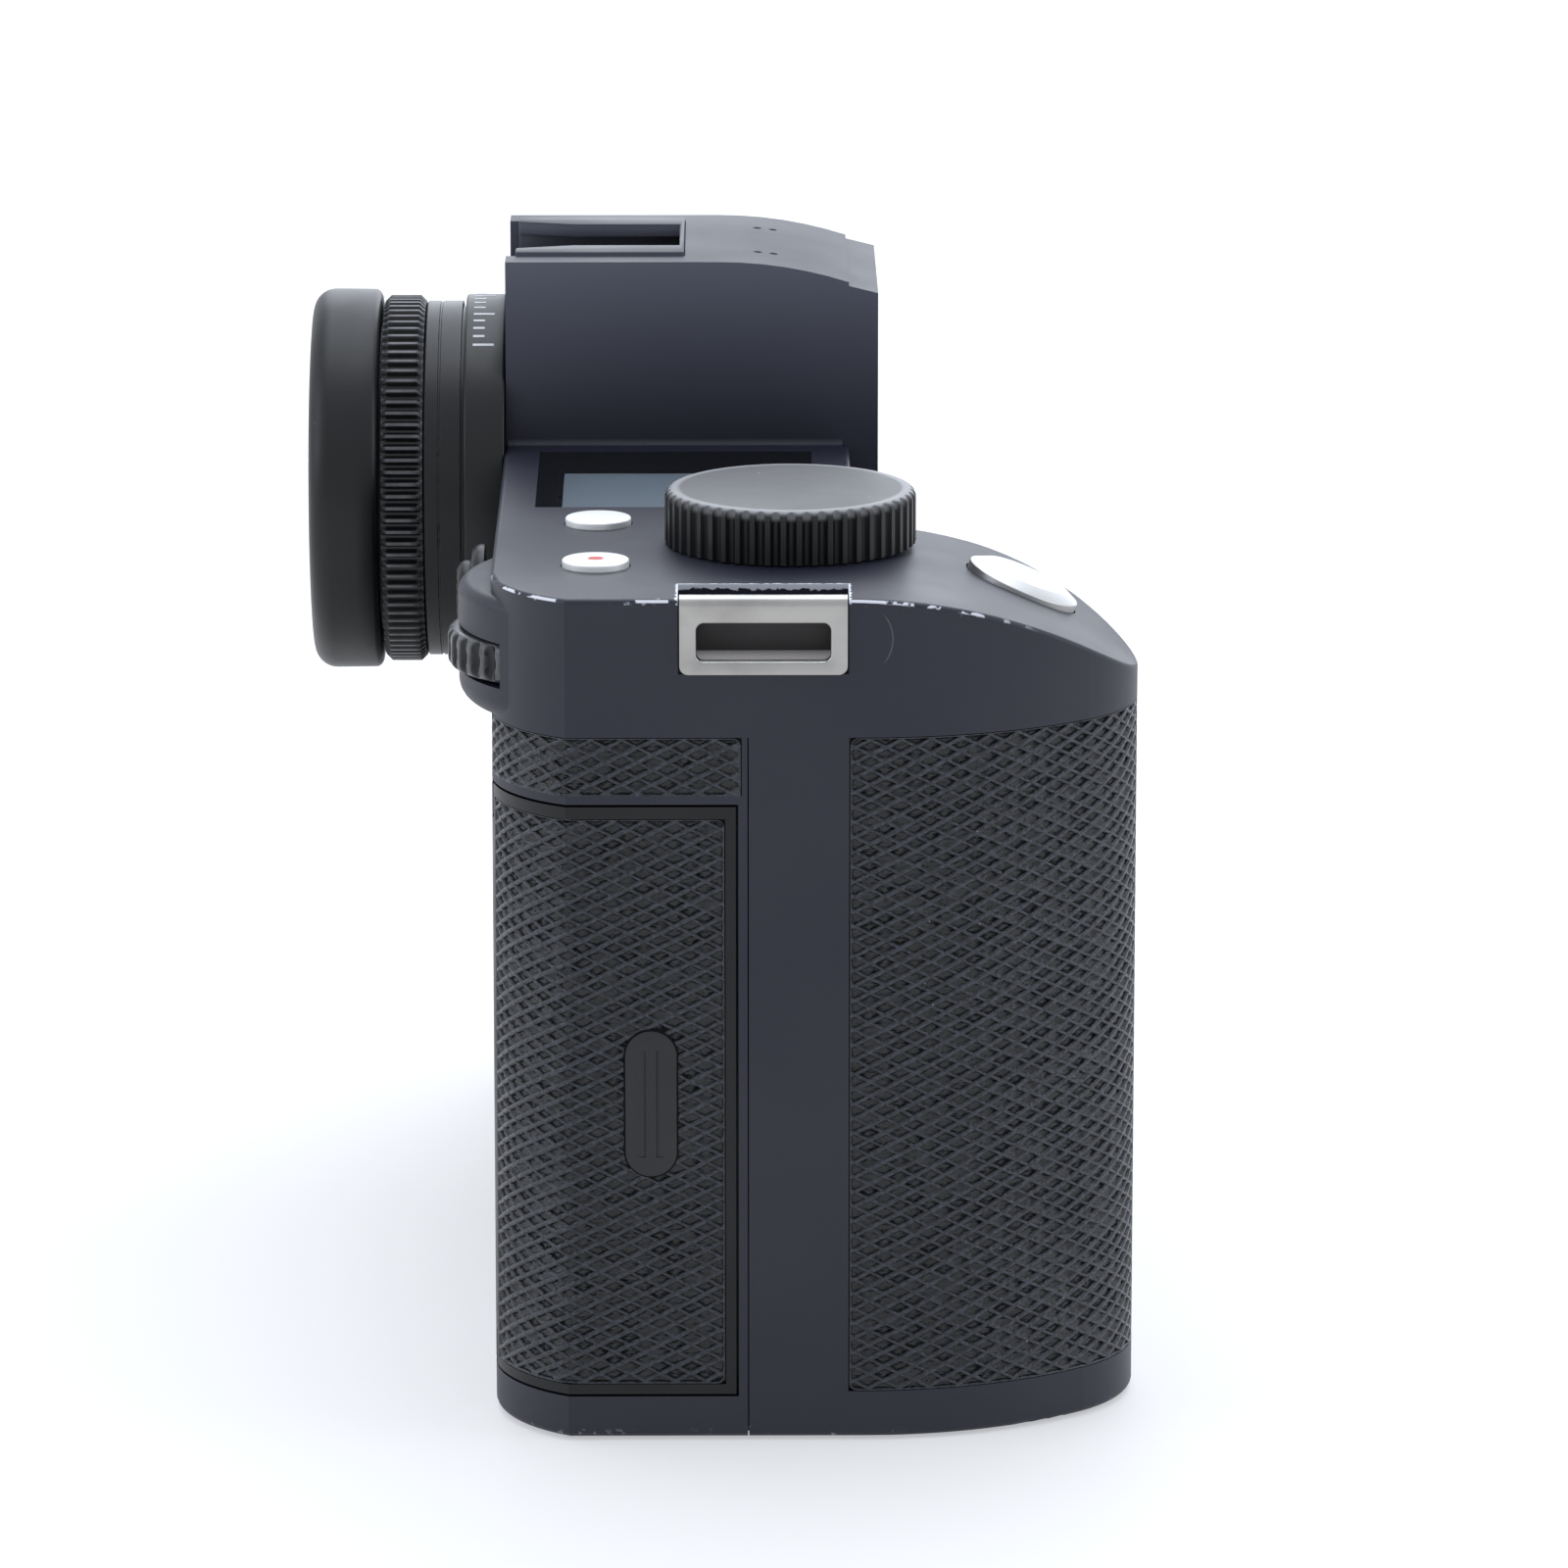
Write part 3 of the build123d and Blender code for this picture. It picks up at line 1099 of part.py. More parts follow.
def knuckle_heights():
    """Heights of the two hinge arms, at the ends of the card door."""
    low = (CARD_DOOR_LOW_Z + 0.4, CARD_DOOR_LOW_Z + 0.4 + KNUCKLE_H)
    high = (CARD_DOOR_HIGH_Z - 0.4 - KNUCKLE_H, CARD_DOOR_HIGH_Z - 0.4)
    return (low, high)


ARM_END_Y = REAR_Y - 9.0


def arm_x(grow):
    """Width of a hinge arm, centred on the pin."""
    return (HINGE_X - BARREL_HINGE_R - grow, HINGE_X + BARREL_HINGE_R + grow)


def card_door_carrier():
    """Sliding hinge pin with an arm at each end that runs in a slot of the rear shell."""
    low, high = knuckle_heights()
    carrier = rod_z(HINGE_PIN_R, HINGE_X, HINGE_Y, low[0], high[1])
    for z in (low, high):
        carrier += rod_z(BARREL_HINGE_R, HINGE_X, HINGE_Y, *z) + block(arm_x(0), (ARM_END_Y, HINGE_Y), z)
    return carrier


def card_door():
    """Door that wraps round the rear corner, with a rim round its covering and a hinge barrel."""
    low, high = knuckle_heights()
    door = card_door_zone(0, DOOR_T)
    for z in ((CARD_DOOR_LOW_Z - 1, low[1] + GAP), (high[0] - GAP, CARD_DOOR_HIGH_Z + 1)):
        door -= block((HINGE_X - BARREL_HINGE_R - 0.6, HINGE_X + 1), (ARM_END_Y, BEYOND), z)
    barrel_z = (low[1] + GAP, high[0] - GAP)
    door -= rod_z(BARREL_HINGE_R - 0.2, HINGE_X, HINGE_Y, *barrel_z)
    door += rod_z(BARREL_HINGE_R, HINGE_X, HINGE_Y, *barrel_z)
    door -= rod_z(HINGE_PIN_R + FIT, HINGE_X, HINGE_Y, 0, COVER_Z)
    return door - card_door_leather() - latch_pad(0)


def card_door_leather():
    """Covering let into the door, inside its rim."""
    skin = band(0, DOOR_LEATHER_T, CARD_DOOR_LOW_Z + DOOR_RIM, CARD_DOOR_HIGH_Z - DOOR_RIM - 0.2)
    x = (-BEYOND, HINGE_X - BARREL_HINGE_R - 1.2)
    zone = block(x, (CARD_DOOR_FRONT_Y + DOOR_RIM, BEYOND), (0, TOP_Z))
    return (skin & zone) - latch_pad(0)


def latch_pad(proud):
    """Finger pad on the door: an upright stadium."""
    face = Plane.YZ * SlotOverall(LATCH_H, LATCH_W, rotation=90)
    pad = extrude(face, amount=DOOR_LEATHER_T + 0.4 + LATCH_PROUD if proud else DOOR_LEATHER_T + 1.4)
    start = -GRIP_REACH - (LATCH_PROUD if proud else 1.0)
    return Pos(start, LATCH_Y, LATCH_Z) * pad


def card_window():
    """Window in the wall behind the door, for the card slots."""
    return block((-GRIP_REACH - 1, -GRIP_REACH + DOOR_BACK_T), card_y(-0.6), card_z(-0.6))


def card_y(grow):
    """Depth range of the card block."""
    front = BATTERY_Y + BATTERY_D / 2 + BAY_GAP + BAY_T + 0.2
    return (front - grow, front + CARD_BLOCK_T + grow)


def card_z(grow):
    """Height range of the card block."""
    reach = SLOT_W / 2 + SLOT_MARGIN + grow
    return (LATCH_Z - reach, LATCH_Z + reach)


def card_slot_block():
    """Two card slots side by side, their mouths behind the door."""
    front = -GRIP_REACH + DOOR_BACK_T
    holder = block((front, front + SLOT_DEPTH + SLOT_END_T), card_y(0), card_z(0))
    middle = sum(card_y(0)) / 2
    slot_z = (LATCH_Z - SLOT_W / 2, LATCH_Z + SLOT_W / 2)
    for y in (middle - SLOT_PITCH / 2, middle + SLOT_PITCH / 2):
        holder -= block((front - 1, front + SLOT_DEPTH), (y - SLOT_T / 2, y + SLOT_T / 2), slot_z)
    return holder


def port_socket_block(grow):
    """Space of the socket block in the far wall."""
    x = (FAR_REACH - WELL_T - PORT_BLOCK_D, FAR_REACH - WELL_T)
    y = (PORT_Y[0] + 2.5 - grow, PORT_Y[1] - 1.5 + grow)
    return block(x, y, (PORT_Z[0] + 2.5 - grow, PORT_Z[1] - 2.5 + grow))


def port_block():
    """Socket block: two jacks, a video socket and a data socket."""
    holder = port_socket_block(0)
    face_x, y = FAR_REACH - WELL_T, 0.5
    holder -= block((face_x - 8, face_x + 1), (y - 2.35, y + 2.35), (PORT_Z[0] + 6, PORT_Z[0] + 20.2))
    holder -= block((face_x - 6, face_x + 1), (y - 1.4, y + 1.4), (PORT_Z[0] + 24, PORT_Z[0] + 32))
    for z in (PORT_Z[1] - 13, PORT_Z[1] - 6):
        holder -= rod_x(1.78, y, z, face_x - 9, face_x + 1)
    return holder


def port_door():
    """Door over the sockets, hinged at its front edge."""
    hinge_x, hinge_y = port_hinge()
    door = block((FAR_REACH - DOOR_T, FAR_REACH), (hinge_y, PORT_Y[1]), PORT_Z)
    door -= rod_z(BARREL_HINGE_R - 0.2, hinge_x, hinge_y, *PORT_Z)
    corner = block((FAR_REACH - DOOR_T - 1, hinge_x), (hinge_y - 1, hinge_y + 1.1), (0, COVER_Z))
    door = door - corner + rod_z(BARREL_HINGE_R, hinge_x, hinge_y, *PORT_Z)
    stub_z = (PORT_Z[0] - STUB_PIN, PORT_Z[1] + STUB_PIN)
    return door + rod_z(HINGE_PIN_R, hinge_x, hinge_y, *stub_z)


# Rear and front controls

def long_button(x, z):
    """Flat bar key with a flange behind the wall."""
    low = REAR_Y - SHELL_T - 0.1
    key = rear_stadium(x, z, LONG_BUTTON_W, LONG_BUTTON_H, low - 0.1, REAR_Y + KEY_RISE)
    width, height = LONG_BUTTON_W + 2 * KEY_FLANGE, LONG_BUTTON_H + 2 * KEY_FLANGE
    flange = rear_stadium(x, z, width, height, low - 0.8, low)
    return key + flange


def finder_button():
    """Small round key beside the finder."""
    low = REAR_Y - SHELL_T - 0.1
    key = rod_y(FINDER_BUTTON_R, FINDER_BUTTON_X, FINDER_BUTTON_Z, low - 0.1, REAR_Y + KEY_RISE)
    return key + rod_y(FINDER_BUTTON_R + KEY_FLANGE, FINDER_BUTTON_X, FINDER_BUTTON_Z, low - 0.8, low)


def power_lever():
    """Round switch with a thumb tab, on a pin through the rear wall."""
    low = REAR_Y + 0.2
    inside = REAR_Y - SHELL_T - 0.2
    tip = LEVER_X + LEVER_R + LEVER_TAB
    tab_z = (LEVER_Z - LEVER_TAB / 2, LEVER_Z + LEVER_TAB / 2)
    lever = rod_y(LEVER_R, LEVER_X, LEVER_Z, low, low + LEVER_T)
    lever += block((LEVER_X, tip), (low, low + LEVER_T), tab_z)
    lever += block((tip - 2, tip), (low, low + LEVER_T + 1.6), tab_z)
    pin = rod_y(AXLE_R, LEVER_X, LEVER_Z, inside - 0.1, low + 0.5)
    return lever + pin + rod_y(AXLE_R + 1, LEVER_X, LEVER_Z, inside - 1, inside)


def lens_release_button():
    """Round release beside the mount."""
    front = FRONT_Y - UNLOCK_RISE
    profile = [
        (0, front + 0.3), (UNLOCK_R - 1.2, front), (UNLOCK_R - 0.5, front), (UNLOCK_R, front + 0.5),
        (UNLOCK_R, INNER_FRONT_Y + 0.2), (UNLOCK_R + 0.9, INNER_FRONT_Y + 0.2),
        (UNLOCK_R + 0.9, INNER_FRONT_Y + 1), (0, INNER_FRONT_Y + 1),
    ]
    return turned(profile, UNLOCK_X, UNLOCK_Z)


def lens_lock_pin():
    """Pin that stands out of the flange and locks the lens."""
    return rod_y(LOCK_PIN_R, LOCK_X, LOCK_Z, FLANGE_Y - 0.9, INNER_FRONT_Y + 1)


# Battery

def battery():
    """Battery pack with its own base cap, which is part of the camera's bottom."""
    pack = prism(battery_face(0), BASE_T - 0.1, BATTERY_TOP_Z)
    return pack + prism(battery_face(BATTERY_CAP_LIP), 0, BASE_T - 0.1)


def battery_bay():
    """Tube round the battery, closed at its top."""
    low, high = FLOOR_Z, BATTERY_TOP_Z + 1
    bay = prism(battery_face(BAY_GAP + BAY_T), low, high + BAY_T)
    return bay - prism(battery_face(BAY_GAP), low - 1, high)


def battery_catch():
    """Small lever in the base that lets the battery go."""
    disc = rod_z(CATCH_R, CATCH_X, CATCH_Y, 0.15, BASE_T - 0.1)
    rib = block((CATCH_X - CATCH_R + 1, CATCH_X + CATCH_R - 1), (CATCH_Y - 0.7, CATCH_Y + 0.7), (0.02, 0.3))
    slots = block((CATCH_X - 3, CATCH_X + 3), (CATCH_Y + 1.2, CATCH_Y + 2.6), (0, 0.6))
    return disc + rib - slots


# Rear screen

def screen_glass():
    """Cover glass of the rear screen."""
    half_w, half_h = SCREEN_W / 2, SCREEN_H / 2
    y = (REAR_Y - SCREEN_GLASS_T, REAR_Y - 0.05)
    return block((SCREEN_X - half_w, SCREEN_X + half_w), y, (SCREEN_Z - half_h, SCREEN_Z + half_h))


# Writing the parts

front_shell, rear_shell = shells()
save("front_shell", front_shell)
save("rear_shell", rear_shell)
save("top_cover", top_cover())
save("front_fascia", front_fascia())
save("base_plate", base_plate())
save("tripod_socket", tripod_socket())
save("base_screws", *[body_screw(x, y) for x, y in BASE_SCREWS])
save("grip_leather", grip_leather())
save("rear_leather", rear_leather())
save("far_leather", far_leather())
save("hot_shoe", hot_shoe())
save("strap_lugs", strap_lug(), to_far_end(strap_lug()))
save("lens_mount_ring", lens_mount_ring())
save("mount_screws", *[mount_screw(x, z) for x, z in mount_screw_places()])
save("mount_contacts", mount_contacts())
save("inner_chassis", inner_chassis())
save("light_baffle", light_baffle())
save("shutter_frame", shutter_frame())
save("shutter_leaf_1", shutter_leaf(0))
save("shutter_leaf_2", shutter_leaf(1))
save("sensor_glass", sensor_glass())
save("sensor_package", sensor_package())
save("image_sensor", image_sensor())
save("sensor_plate", sensor_plate())
save("main_board", main_board())
save("eyepiece_barrel", eyepiece_barrel())
save("eyepiece_lens", eyepiece_lens())
save("evf_display", evf_display())
save("diopter_ring", diopter_ring())
save("eyecup", eyecup())
save("top_dial", top_dial())
save("thumb_wheel", thumb_wheel())
save("thumb_wheel_bracket", thumb_wheel_bracket())
save("display_button", round_button(BUTTON_X[0]))
save("record_button", round_button(BUTTON_X[1]))
save("shutter_button", shutter_button())
save("top_display_glass", display_glass())
save("top_display_panel", display_panel())
save("joystick_gimbal", joystick_gimbal())
save("joystick", joystick())
save("card_door_carrier", card_door_carrier())
save("card_door", card_door())
save("card_door_leather", card_door_leather())
save("card_door_pad", latch_pad(True))
save("card_slot_block", card_slot_block())
save("port_door", port_door())
save("port_block", port_block())
for button_name, place in LONG_BUTTONS.items():
    save(button_name, long_button(*place))
save("finder_button", finder_button())
save("power_lever", power_lever())
save("lens_release_button", lens_release_button())
save("lens_lock_pin", lens_lock_pin())
save("battery", battery())
save("battery_bay", battery_bay())
save("battery_catch", battery_catch())
save("rear_screen_glass", screen_glass())
save("rear_screen_panel", screen_block(0, REAR_Y - SCREEN_GLASS_T - SCREEN_T))
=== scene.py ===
import math
import random

import bmesh
import bpy
from mathutils import Matrix, Vector


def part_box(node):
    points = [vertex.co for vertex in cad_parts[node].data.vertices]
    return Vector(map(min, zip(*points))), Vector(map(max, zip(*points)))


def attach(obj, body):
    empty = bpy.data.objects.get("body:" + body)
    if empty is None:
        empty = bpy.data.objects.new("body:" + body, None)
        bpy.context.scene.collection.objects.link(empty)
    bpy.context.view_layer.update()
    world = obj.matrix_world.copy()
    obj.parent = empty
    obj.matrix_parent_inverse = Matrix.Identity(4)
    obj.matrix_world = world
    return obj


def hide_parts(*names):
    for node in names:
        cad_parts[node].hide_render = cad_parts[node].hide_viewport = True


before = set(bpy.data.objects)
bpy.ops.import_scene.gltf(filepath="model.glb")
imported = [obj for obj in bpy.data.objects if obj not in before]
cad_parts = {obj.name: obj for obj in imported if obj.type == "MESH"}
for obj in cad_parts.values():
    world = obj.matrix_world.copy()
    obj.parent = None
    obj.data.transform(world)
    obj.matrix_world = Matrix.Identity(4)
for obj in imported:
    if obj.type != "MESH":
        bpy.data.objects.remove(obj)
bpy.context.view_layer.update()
MM = 0.001


# The table and the light. The camera stands on a white table under broad soft lamps: one overhead,
# one beyond the camera and a weaker one on each side. The photographer looks down a long lens at
# the grip end.
def feed(socket, source):
    """Sets a socket to a number or a colour, or links another socket to it."""
    if isinstance(source, bpy.types.NodeSocket):
        socket.id_data.links.new(source, socket)
    else:
        socket.default_value = (*source, 1) if isinstance(source, tuple) else source


def calc(kind, first, *others):
    """Math nodes of one kind over a socket and others or numbers, in turn; returns the last output."""
    for other in others or (0.0,):
        node = first.id_data.nodes.new("ShaderNodeMath")
        node.operation = kind
        feed(node.inputs[0], first)
        feed(node.inputs[1], other)
        first = node.outputs["Value"]
    return first


def ranged(source, low, high, to_low=0.0, to_high=1.0):
    """A Map Range node from one span of values to another, clamped."""
    node = source.id_data.nodes.new("ShaderNodeMapRange")
    for socket, value in zip(node.inputs, (source, low, high, to_low, to_high)):
        feed(socket, value)
    return node.outputs["Result"]


def axes(tree, kind="Object"):
    """A piece's own coordinates, or another kind, as three values."""
    split = tree.nodes.new("ShaderNodeSeparateXYZ")
    feed(split.inputs["Vector"], tree.nodes.new("ShaderNodeTexCoord").outputs[kind])
    return split.outputs


def blended(share, first, second, target):
    """Leads two shaders, mixed by a share, into a target."""
    node = share.id_data.nodes.new("ShaderNodeMixShader")
    for socket, source in zip(node.inputs, (share, first, second)):
        feed(socket, source)
    feed(target, node.outputs["Shader"])


def shift(bm, vec, verts=None):
    """Moves some vertices, or all of them."""
    bmesh.ops.translate(bm, vec=vec, verts=verts or bm.verts)


def plain(name, colour, **values):
    """A new material with plain values on its shader; returns it, its node tree and the shader."""
    material = bpy.data.materials.new(name)
    material.use_nodes = True
    shader = material.node_tree.nodes["Principled BSDF"]
    feed(shader.inputs["Base Color"], colour)
    for label, value in values.items():
        shader.inputs[label.replace("_", " ")].default_value = value
    return material, material.node_tree, shader


scene = bpy.context.scene
scene.view_settings.view_transform = "Standard"

white_room = bpy.data.worlds.new("white_room")
white_room.use_nodes = True
scene.world = white_room
tree = white_room.node_tree
room_light, backdrop = tree.nodes["Background"], tree.nodes.new("ShaderNodeBackground")
feed(room_light.inputs["Color"], (0.83, 0.895, 1.0))
feed(room_light.inputs["Strength"], ranged(axes(tree, "Generated")["X"], -0.6, 0.9, 0.70, 1.22))
feed(backdrop.inputs["Color"], (1, 1, 1))
seen = tree.nodes.new("ShaderNodeLightPath").outputs
straight = calc("ADD", calc("MULTIPLY", seen["Is Glossy Ray"], 0.35), seen["Is Camera Ray"])
straight = calc("MAXIMUM", straight, seen["Is Transmission Ray"])
surface = tree.nodes["World Output"].inputs["Surface"]
blended(straight, room_light.outputs["Background"], backdrop.outputs["Background"], surface)

white_table, tree, shader = plain(
    "white_table", (0.98, 0.945, 0.90), Roughness=0.6, Specular_IOR_Level=0.2
)
pale = tree.nodes.new("ShaderNodeEmission")
feed(pale.inputs["Color"], (0.885, 0.905, 0.945))
seen = tree.nodes.new("ShaderNodeLightPath").outputs
half = calc("MULTIPLY", calc("MAXIMUM", seen["Is Camera Ray"], seen["Is Glossy Ray"]), 0.5)
surface = tree.nodes["Material Output"].inputs["Surface"]
blended(half, shader.outputs["BSDF"], pale.outputs["Emission"], surface)

bm = bmesh.new()
bmesh.ops.create_grid(bm, x_segments=1, y_segments=1, size=4.0)
shift(bm, (0, 0, -0.2 * MM))
table = bpy.data.objects.new("table", bpy.data.meshes.new("table"))
bm.to_mesh(table.data)
bm.free()
table.data.materials.append(white_table)
scene.collection.objects.link(table)

LAMPS_AIM = Vector((0, 0, 0.05))
for name, place, size, power in (
    ("overhead_lamp", (0.35, 0.0, 1.5), 1.4, 12.0),
    ("back_lamp", (1.7, -0.35, 0.85), 1.9, 15.0),
    ("rear_side_lamp", (-0.3, 1.4, 0.7), 1.0, 5.0),
    ("front_side_lamp", (-0.2, -1.4, 0.7), 1.0, 5.0),
):
    lamp = bpy.data.lights.new(name, "AREA")
    lamp.shape = "DISK"
    lamp.size = size
    lamp.energy = power
    lamp.color = (0.87, 0.92, 1.0)
    lamp_object = bpy.data.objects.new(name, lamp)
    lamp_object.location = place
    lamp_object.rotation_euler = (LAMPS_AIM - Vector(place)).to_track_quat("-Z", "Y").to_euler()
    scene.collection.objects.link(lamp_object)

pitch, turn = math.radians(13.5), math.radians(0.3894)
level = math.cos(pitch)
looks_along = Vector((level * math.cos(turn), -level * math.sin(turn), -math.sin(pitch)))
lens = bpy.data.cameras.new("long_lens")
lens.lens = 209.25
lens.sensor_width = 36
lens.clip_start = 0.05
viewer = bpy.data.objects.new("long_lens", lens)
viewer.location = (-0.9475, -0.00445, 0.2723)
viewer.rotation_euler = looks_along.to_track_quat("-Z", "Y").to_euler()
scene.collection.objects.link(viewer)
scene.camera = viewer


# Milled top cover, front plate, shells and base plate. They are light alloy with one coat of
# blue-black paint, satin and very finely grained, rubbed through to bright metal on the edges
# that a strap and a bag touch.
def effect(name, values, result):
    """A shader node group; returns it, the values that come in and the socket of its result."""
    group = bpy.data.node_groups.new(name, "ShaderNodeTree")
    for label in values:
        group.interface.new_socket(label, in_out="INPUT", socket_type="NodeSocketFloat")
    group.interface.new_socket(result, in_out="OUTPUT", socket_type="NodeSocketFloat")
    given, out = group.nodes.new("NodeGroupInput"), group.nodes.new("NodeGroupOutput")
    return group, given.outputs, out.inputs[result]


def noise(tree, scale, detail, stretch=None):
    """Noise on the piece's own coordinates; scale is a number or a socket."""
    place = tree.nodes.new("ShaderNodeTexCoord").outputs["Object"]
    if stretch:
        mapping = tree.nodes.new("ShaderNodeMapping")
        mapping.inputs["Scale"].default_value = stretch
        feed(mapping.inputs["Vector"], place)
        place = mapping.outputs["Vector"]
    node = tree.nodes.new("ShaderNodeTexNoise")
    for label, source in (("Vector", place), ("Scale", scale), ("Detail", detail)):
        feed(node.inputs[label], source)
    return node.outputs["Fac"]


rubbed, given, result = effect("rubbed_edges", ("Width", "Amount", "Scale"), "Mask")
bevel = rubbed.nodes.new("ShaderNodeBevel")
bevel.samples = 4
feed(bevel.inputs["Radius"], given["Width"])
facing = rubbed.nodes.new("ShaderNodeVectorMath")
facing.operation = "DOT_PRODUCT"
feed(facing.inputs[0], bevel.outputs["Normal"])
feed(facing.inputs[1], rubbed.nodes.new("ShaderNodeNewGeometry").outputs["Normal"])
edge = ranged(facing.outputs["Value"], 0.998, 0.96)
reach = calc("MULTIPLY", given["Amount"], 2.0, edge)
chip = calc("SUBTRACT", reach, noise(rubbed, given["Scale"], 4.0))
feed(result, ranged(chip, 0.0, 0.08))

handled, given, result = effect("handled_gloss", ("Low", "High", "Scale"), "Roughness")
patchy = ranged(noise(handled, given["Scale"], 5.0), 0.35, 0.65)
span = calc("SUBTRACT", given["High"], given["Low"])
feed(result, calc("ADD", calc("MULTIPLY", patchy, span), given["Low"]))

grain, given, result = effect("fine_grain", ("Scale",), "Height")
feed(result, noise(grain, given["Scale"], 2.0))

dusty, given, result = effect("dust_specks", ("Scale", "Size", "Share"), "Mask")
spots = dusty.nodes.new("ShaderNodeTexVoronoi")
feed(spots.inputs["Vector"], dusty.nodes.new("ShaderNodeTexCoord").outputs["Object"])
feed(spots.inputs["Scale"], given["Scale"])
speck = ranged(calc("SUBTRACT", given["Size"], spots.outputs["Distance"]), 0.0, 0.03)
split = dusty.nodes.new("ShaderNodeSeparateColor")
feed(split.inputs["Color"], spots.outputs["Color"])
chosen = calc("LESS_THAN", split.outputs["Red"], given["Share"])
feed(result, calc("MULTIPLY", speck, chosen))


def placed(tree, group, **values):
    """One use of an effect in a material, with its own values."""
    node = tree.nodes.new("ShaderNodeGroup")
    node.node_tree = group
    for label, value in values.items():
        feed(node.inputs[label], value)
    return node.outputs[0]


def tinted(mask, under, over):
    """A colour that goes from under to over by a mask; either may be a socket."""
    mix = mask.id_data.nodes.new("ShaderNodeMix")
    mix.data_type = "RGBA"
    for socket, source in ((mix.inputs["Factor"], mask), (mix.inputs[6], under), (mix.inputs[7], over)):
        feed(socket, source)
    return mix.outputs[2]


def bumped(shader, height, depth):
    """A bump of a given depth in metres on the shader's normal."""
    node = height.id_data.nodes.new("ShaderNodeBump")
    node.inputs["Distance"].default_value = depth
    feed(node.inputs["Height"], height)
    feed(shader.inputs["Normal"], node.outputs["Normal"])


def finish(name, colour, gloss, fine=None, **values):
    """A material that hands have touched: gloss holds two roughnesses and the scale of the patches
    between them, fine the scale and the depth of a grain. Returns it, its node tree and the shader."""
    material, tree, shader = plain(name, colour, **values)
    feed(shader.inputs["Roughness"], placed(tree, handled, Low=gloss[0], High=gloss[1], Scale=gloss[2]))
    if fine:
        bumped(shader, placed(tree, grain, Scale=fine[0]), fine[1])
    return material, tree, shader


def away_from(values, middle):
    """Distance of two coordinates from a point in their plane."""
    squares = (calc("POWER", calc("SUBTRACT", value, at), 2.0) for value, at in zip(values, middle))
    return calc("SQRT", calc("ADD", *squares))


def dress(material, *nodes):
    """Gives the CAD's own solids a finish."""
    for node in nodes:
        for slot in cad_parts[node].material_slots:
            slot.material = material


COAT, BARE_METAL, FLANK_PAINTED_SHEEN = (0.0060, 0.0070, 0.0185), (0.66, 0.67, 0.72), (0.078, 0.083, 0.112)
NOTCH_Y, NOTCH_HALF = -0.0083, 0.008275
SCRATCH_Y, SCRATCH_Z, SCRATCH_R = -0.0171, 0.08065, 0.0037

body_coat, tree, shader = finish("body_coat", COAT, (0.44, 0.55, 45.0), (9000.0, 0.000004))
x, y, z = axes(tree)
facing = tree.nodes.new("ShaderNodeSeparateXYZ")
feed(facing.inputs["Vector"], tree.nodes.new("ShaderNodeNewGeometry").outputs["Normal"])
upward = facing.outputs["Z"]

# Chips along the upper edge of the grip end and down the grip's slope.
rim = ranged(z, 0.0836, 0.0841)
slope = calc("MULTIPLY", ranged(y, -0.0165, -0.0175), ranged(z, 0.0735, 0.0760))
end = calc("MULTIPLY", ranged(x, -0.0850, -0.0880), calc("MAXIMUM", rim, slope))
upper = calc("MAXIMUM", end, calc("MULTIPLY", rim, ranged(x, -0.0760, -0.0800)))
from_notch = calc("ABSOLUTE", calc("SUBTRACT", y, NOTCH_Y))
across = calc("SUBTRACT", from_notch, NOTCH_HALF)
beside = calc("MULTIPLY", end, ranged(across, 0.0060, 0.0020, 0.0, 0.16))
turning = calc("MULTIPLY", ranged(upward, 0.22, 0.38), ranged(upward, 0.86, 0.74))
broken = ranged(calc("ADD", noise(tree, 420.0, 4.0), beside), 0.54, 0.57)
line = calc("MULTIPLY", turning, broken, upper)
worn = calc("MAXIMUM", upper, ranged(z, 0.0020, 0.0012, 0.0, 0.9))
spare = calc("MULTIPLY", worn, ranged(noise(tree, 210.0, 2.0), 0.42, 0.62, 0.13, 0.235))
chips = placed(tree, rubbed, Width=0.0009, Amount=spare, Scale=1500.0)

# A ragged bare lip round the strap notch, and one faint curved scratch beside it.
ragged = calc("MULTIPLY", noise(tree, 1300.0, 3.0), 0.0009)
outside = calc("ADD", calc("MAXIMUM", across, calc("ADD", x, 0.0825)), ragged)
lip = calc(
    "MULTIPLY", ranged(outside, 0.00068, 0.00062), ranged(x, -0.0815, -0.0820),
    ranged(calc("ADD", z, ragged), 0.0845, 0.0846),
)
from_middle = away_from((y, z), (SCRATCH_Y, SCRATCH_Z))
off_it = calc("ABSOLUTE", calc("SUBTRACT", from_middle, SCRATCH_R))
scratch = calc(
    "MULTIPLY", ranged(off_it, 0.00007, 0.00003, 0.0, 0.10),
    ranged(y, -0.0198, -0.0203), ranged(x, -0.0880, -0.0886),
)
bare = calc("MAXIMUM", chips, line, lip, scratch)

# Painted sheen: the hump's flank on the grip side is painted slightly lighter towards its top, for the
# reflection that brightens it there.
flank = calc("MULTIPLY", ranged(z, 0.0846, 0.1040), ranged(x, -0.0150, -0.0145), ranged(upward, 0.5, 0.1))
paint = tinted(calc("POWER", flank, 1.4), COAT, FLANK_PAINTED_SHEEN)
feed(shader.inputs["Base Color"], tinted(bare, paint, BARE_METAL))
dress(body_coat, "top_cover", "front_fascia", "front_shell", "rear_shell", "base_plate")


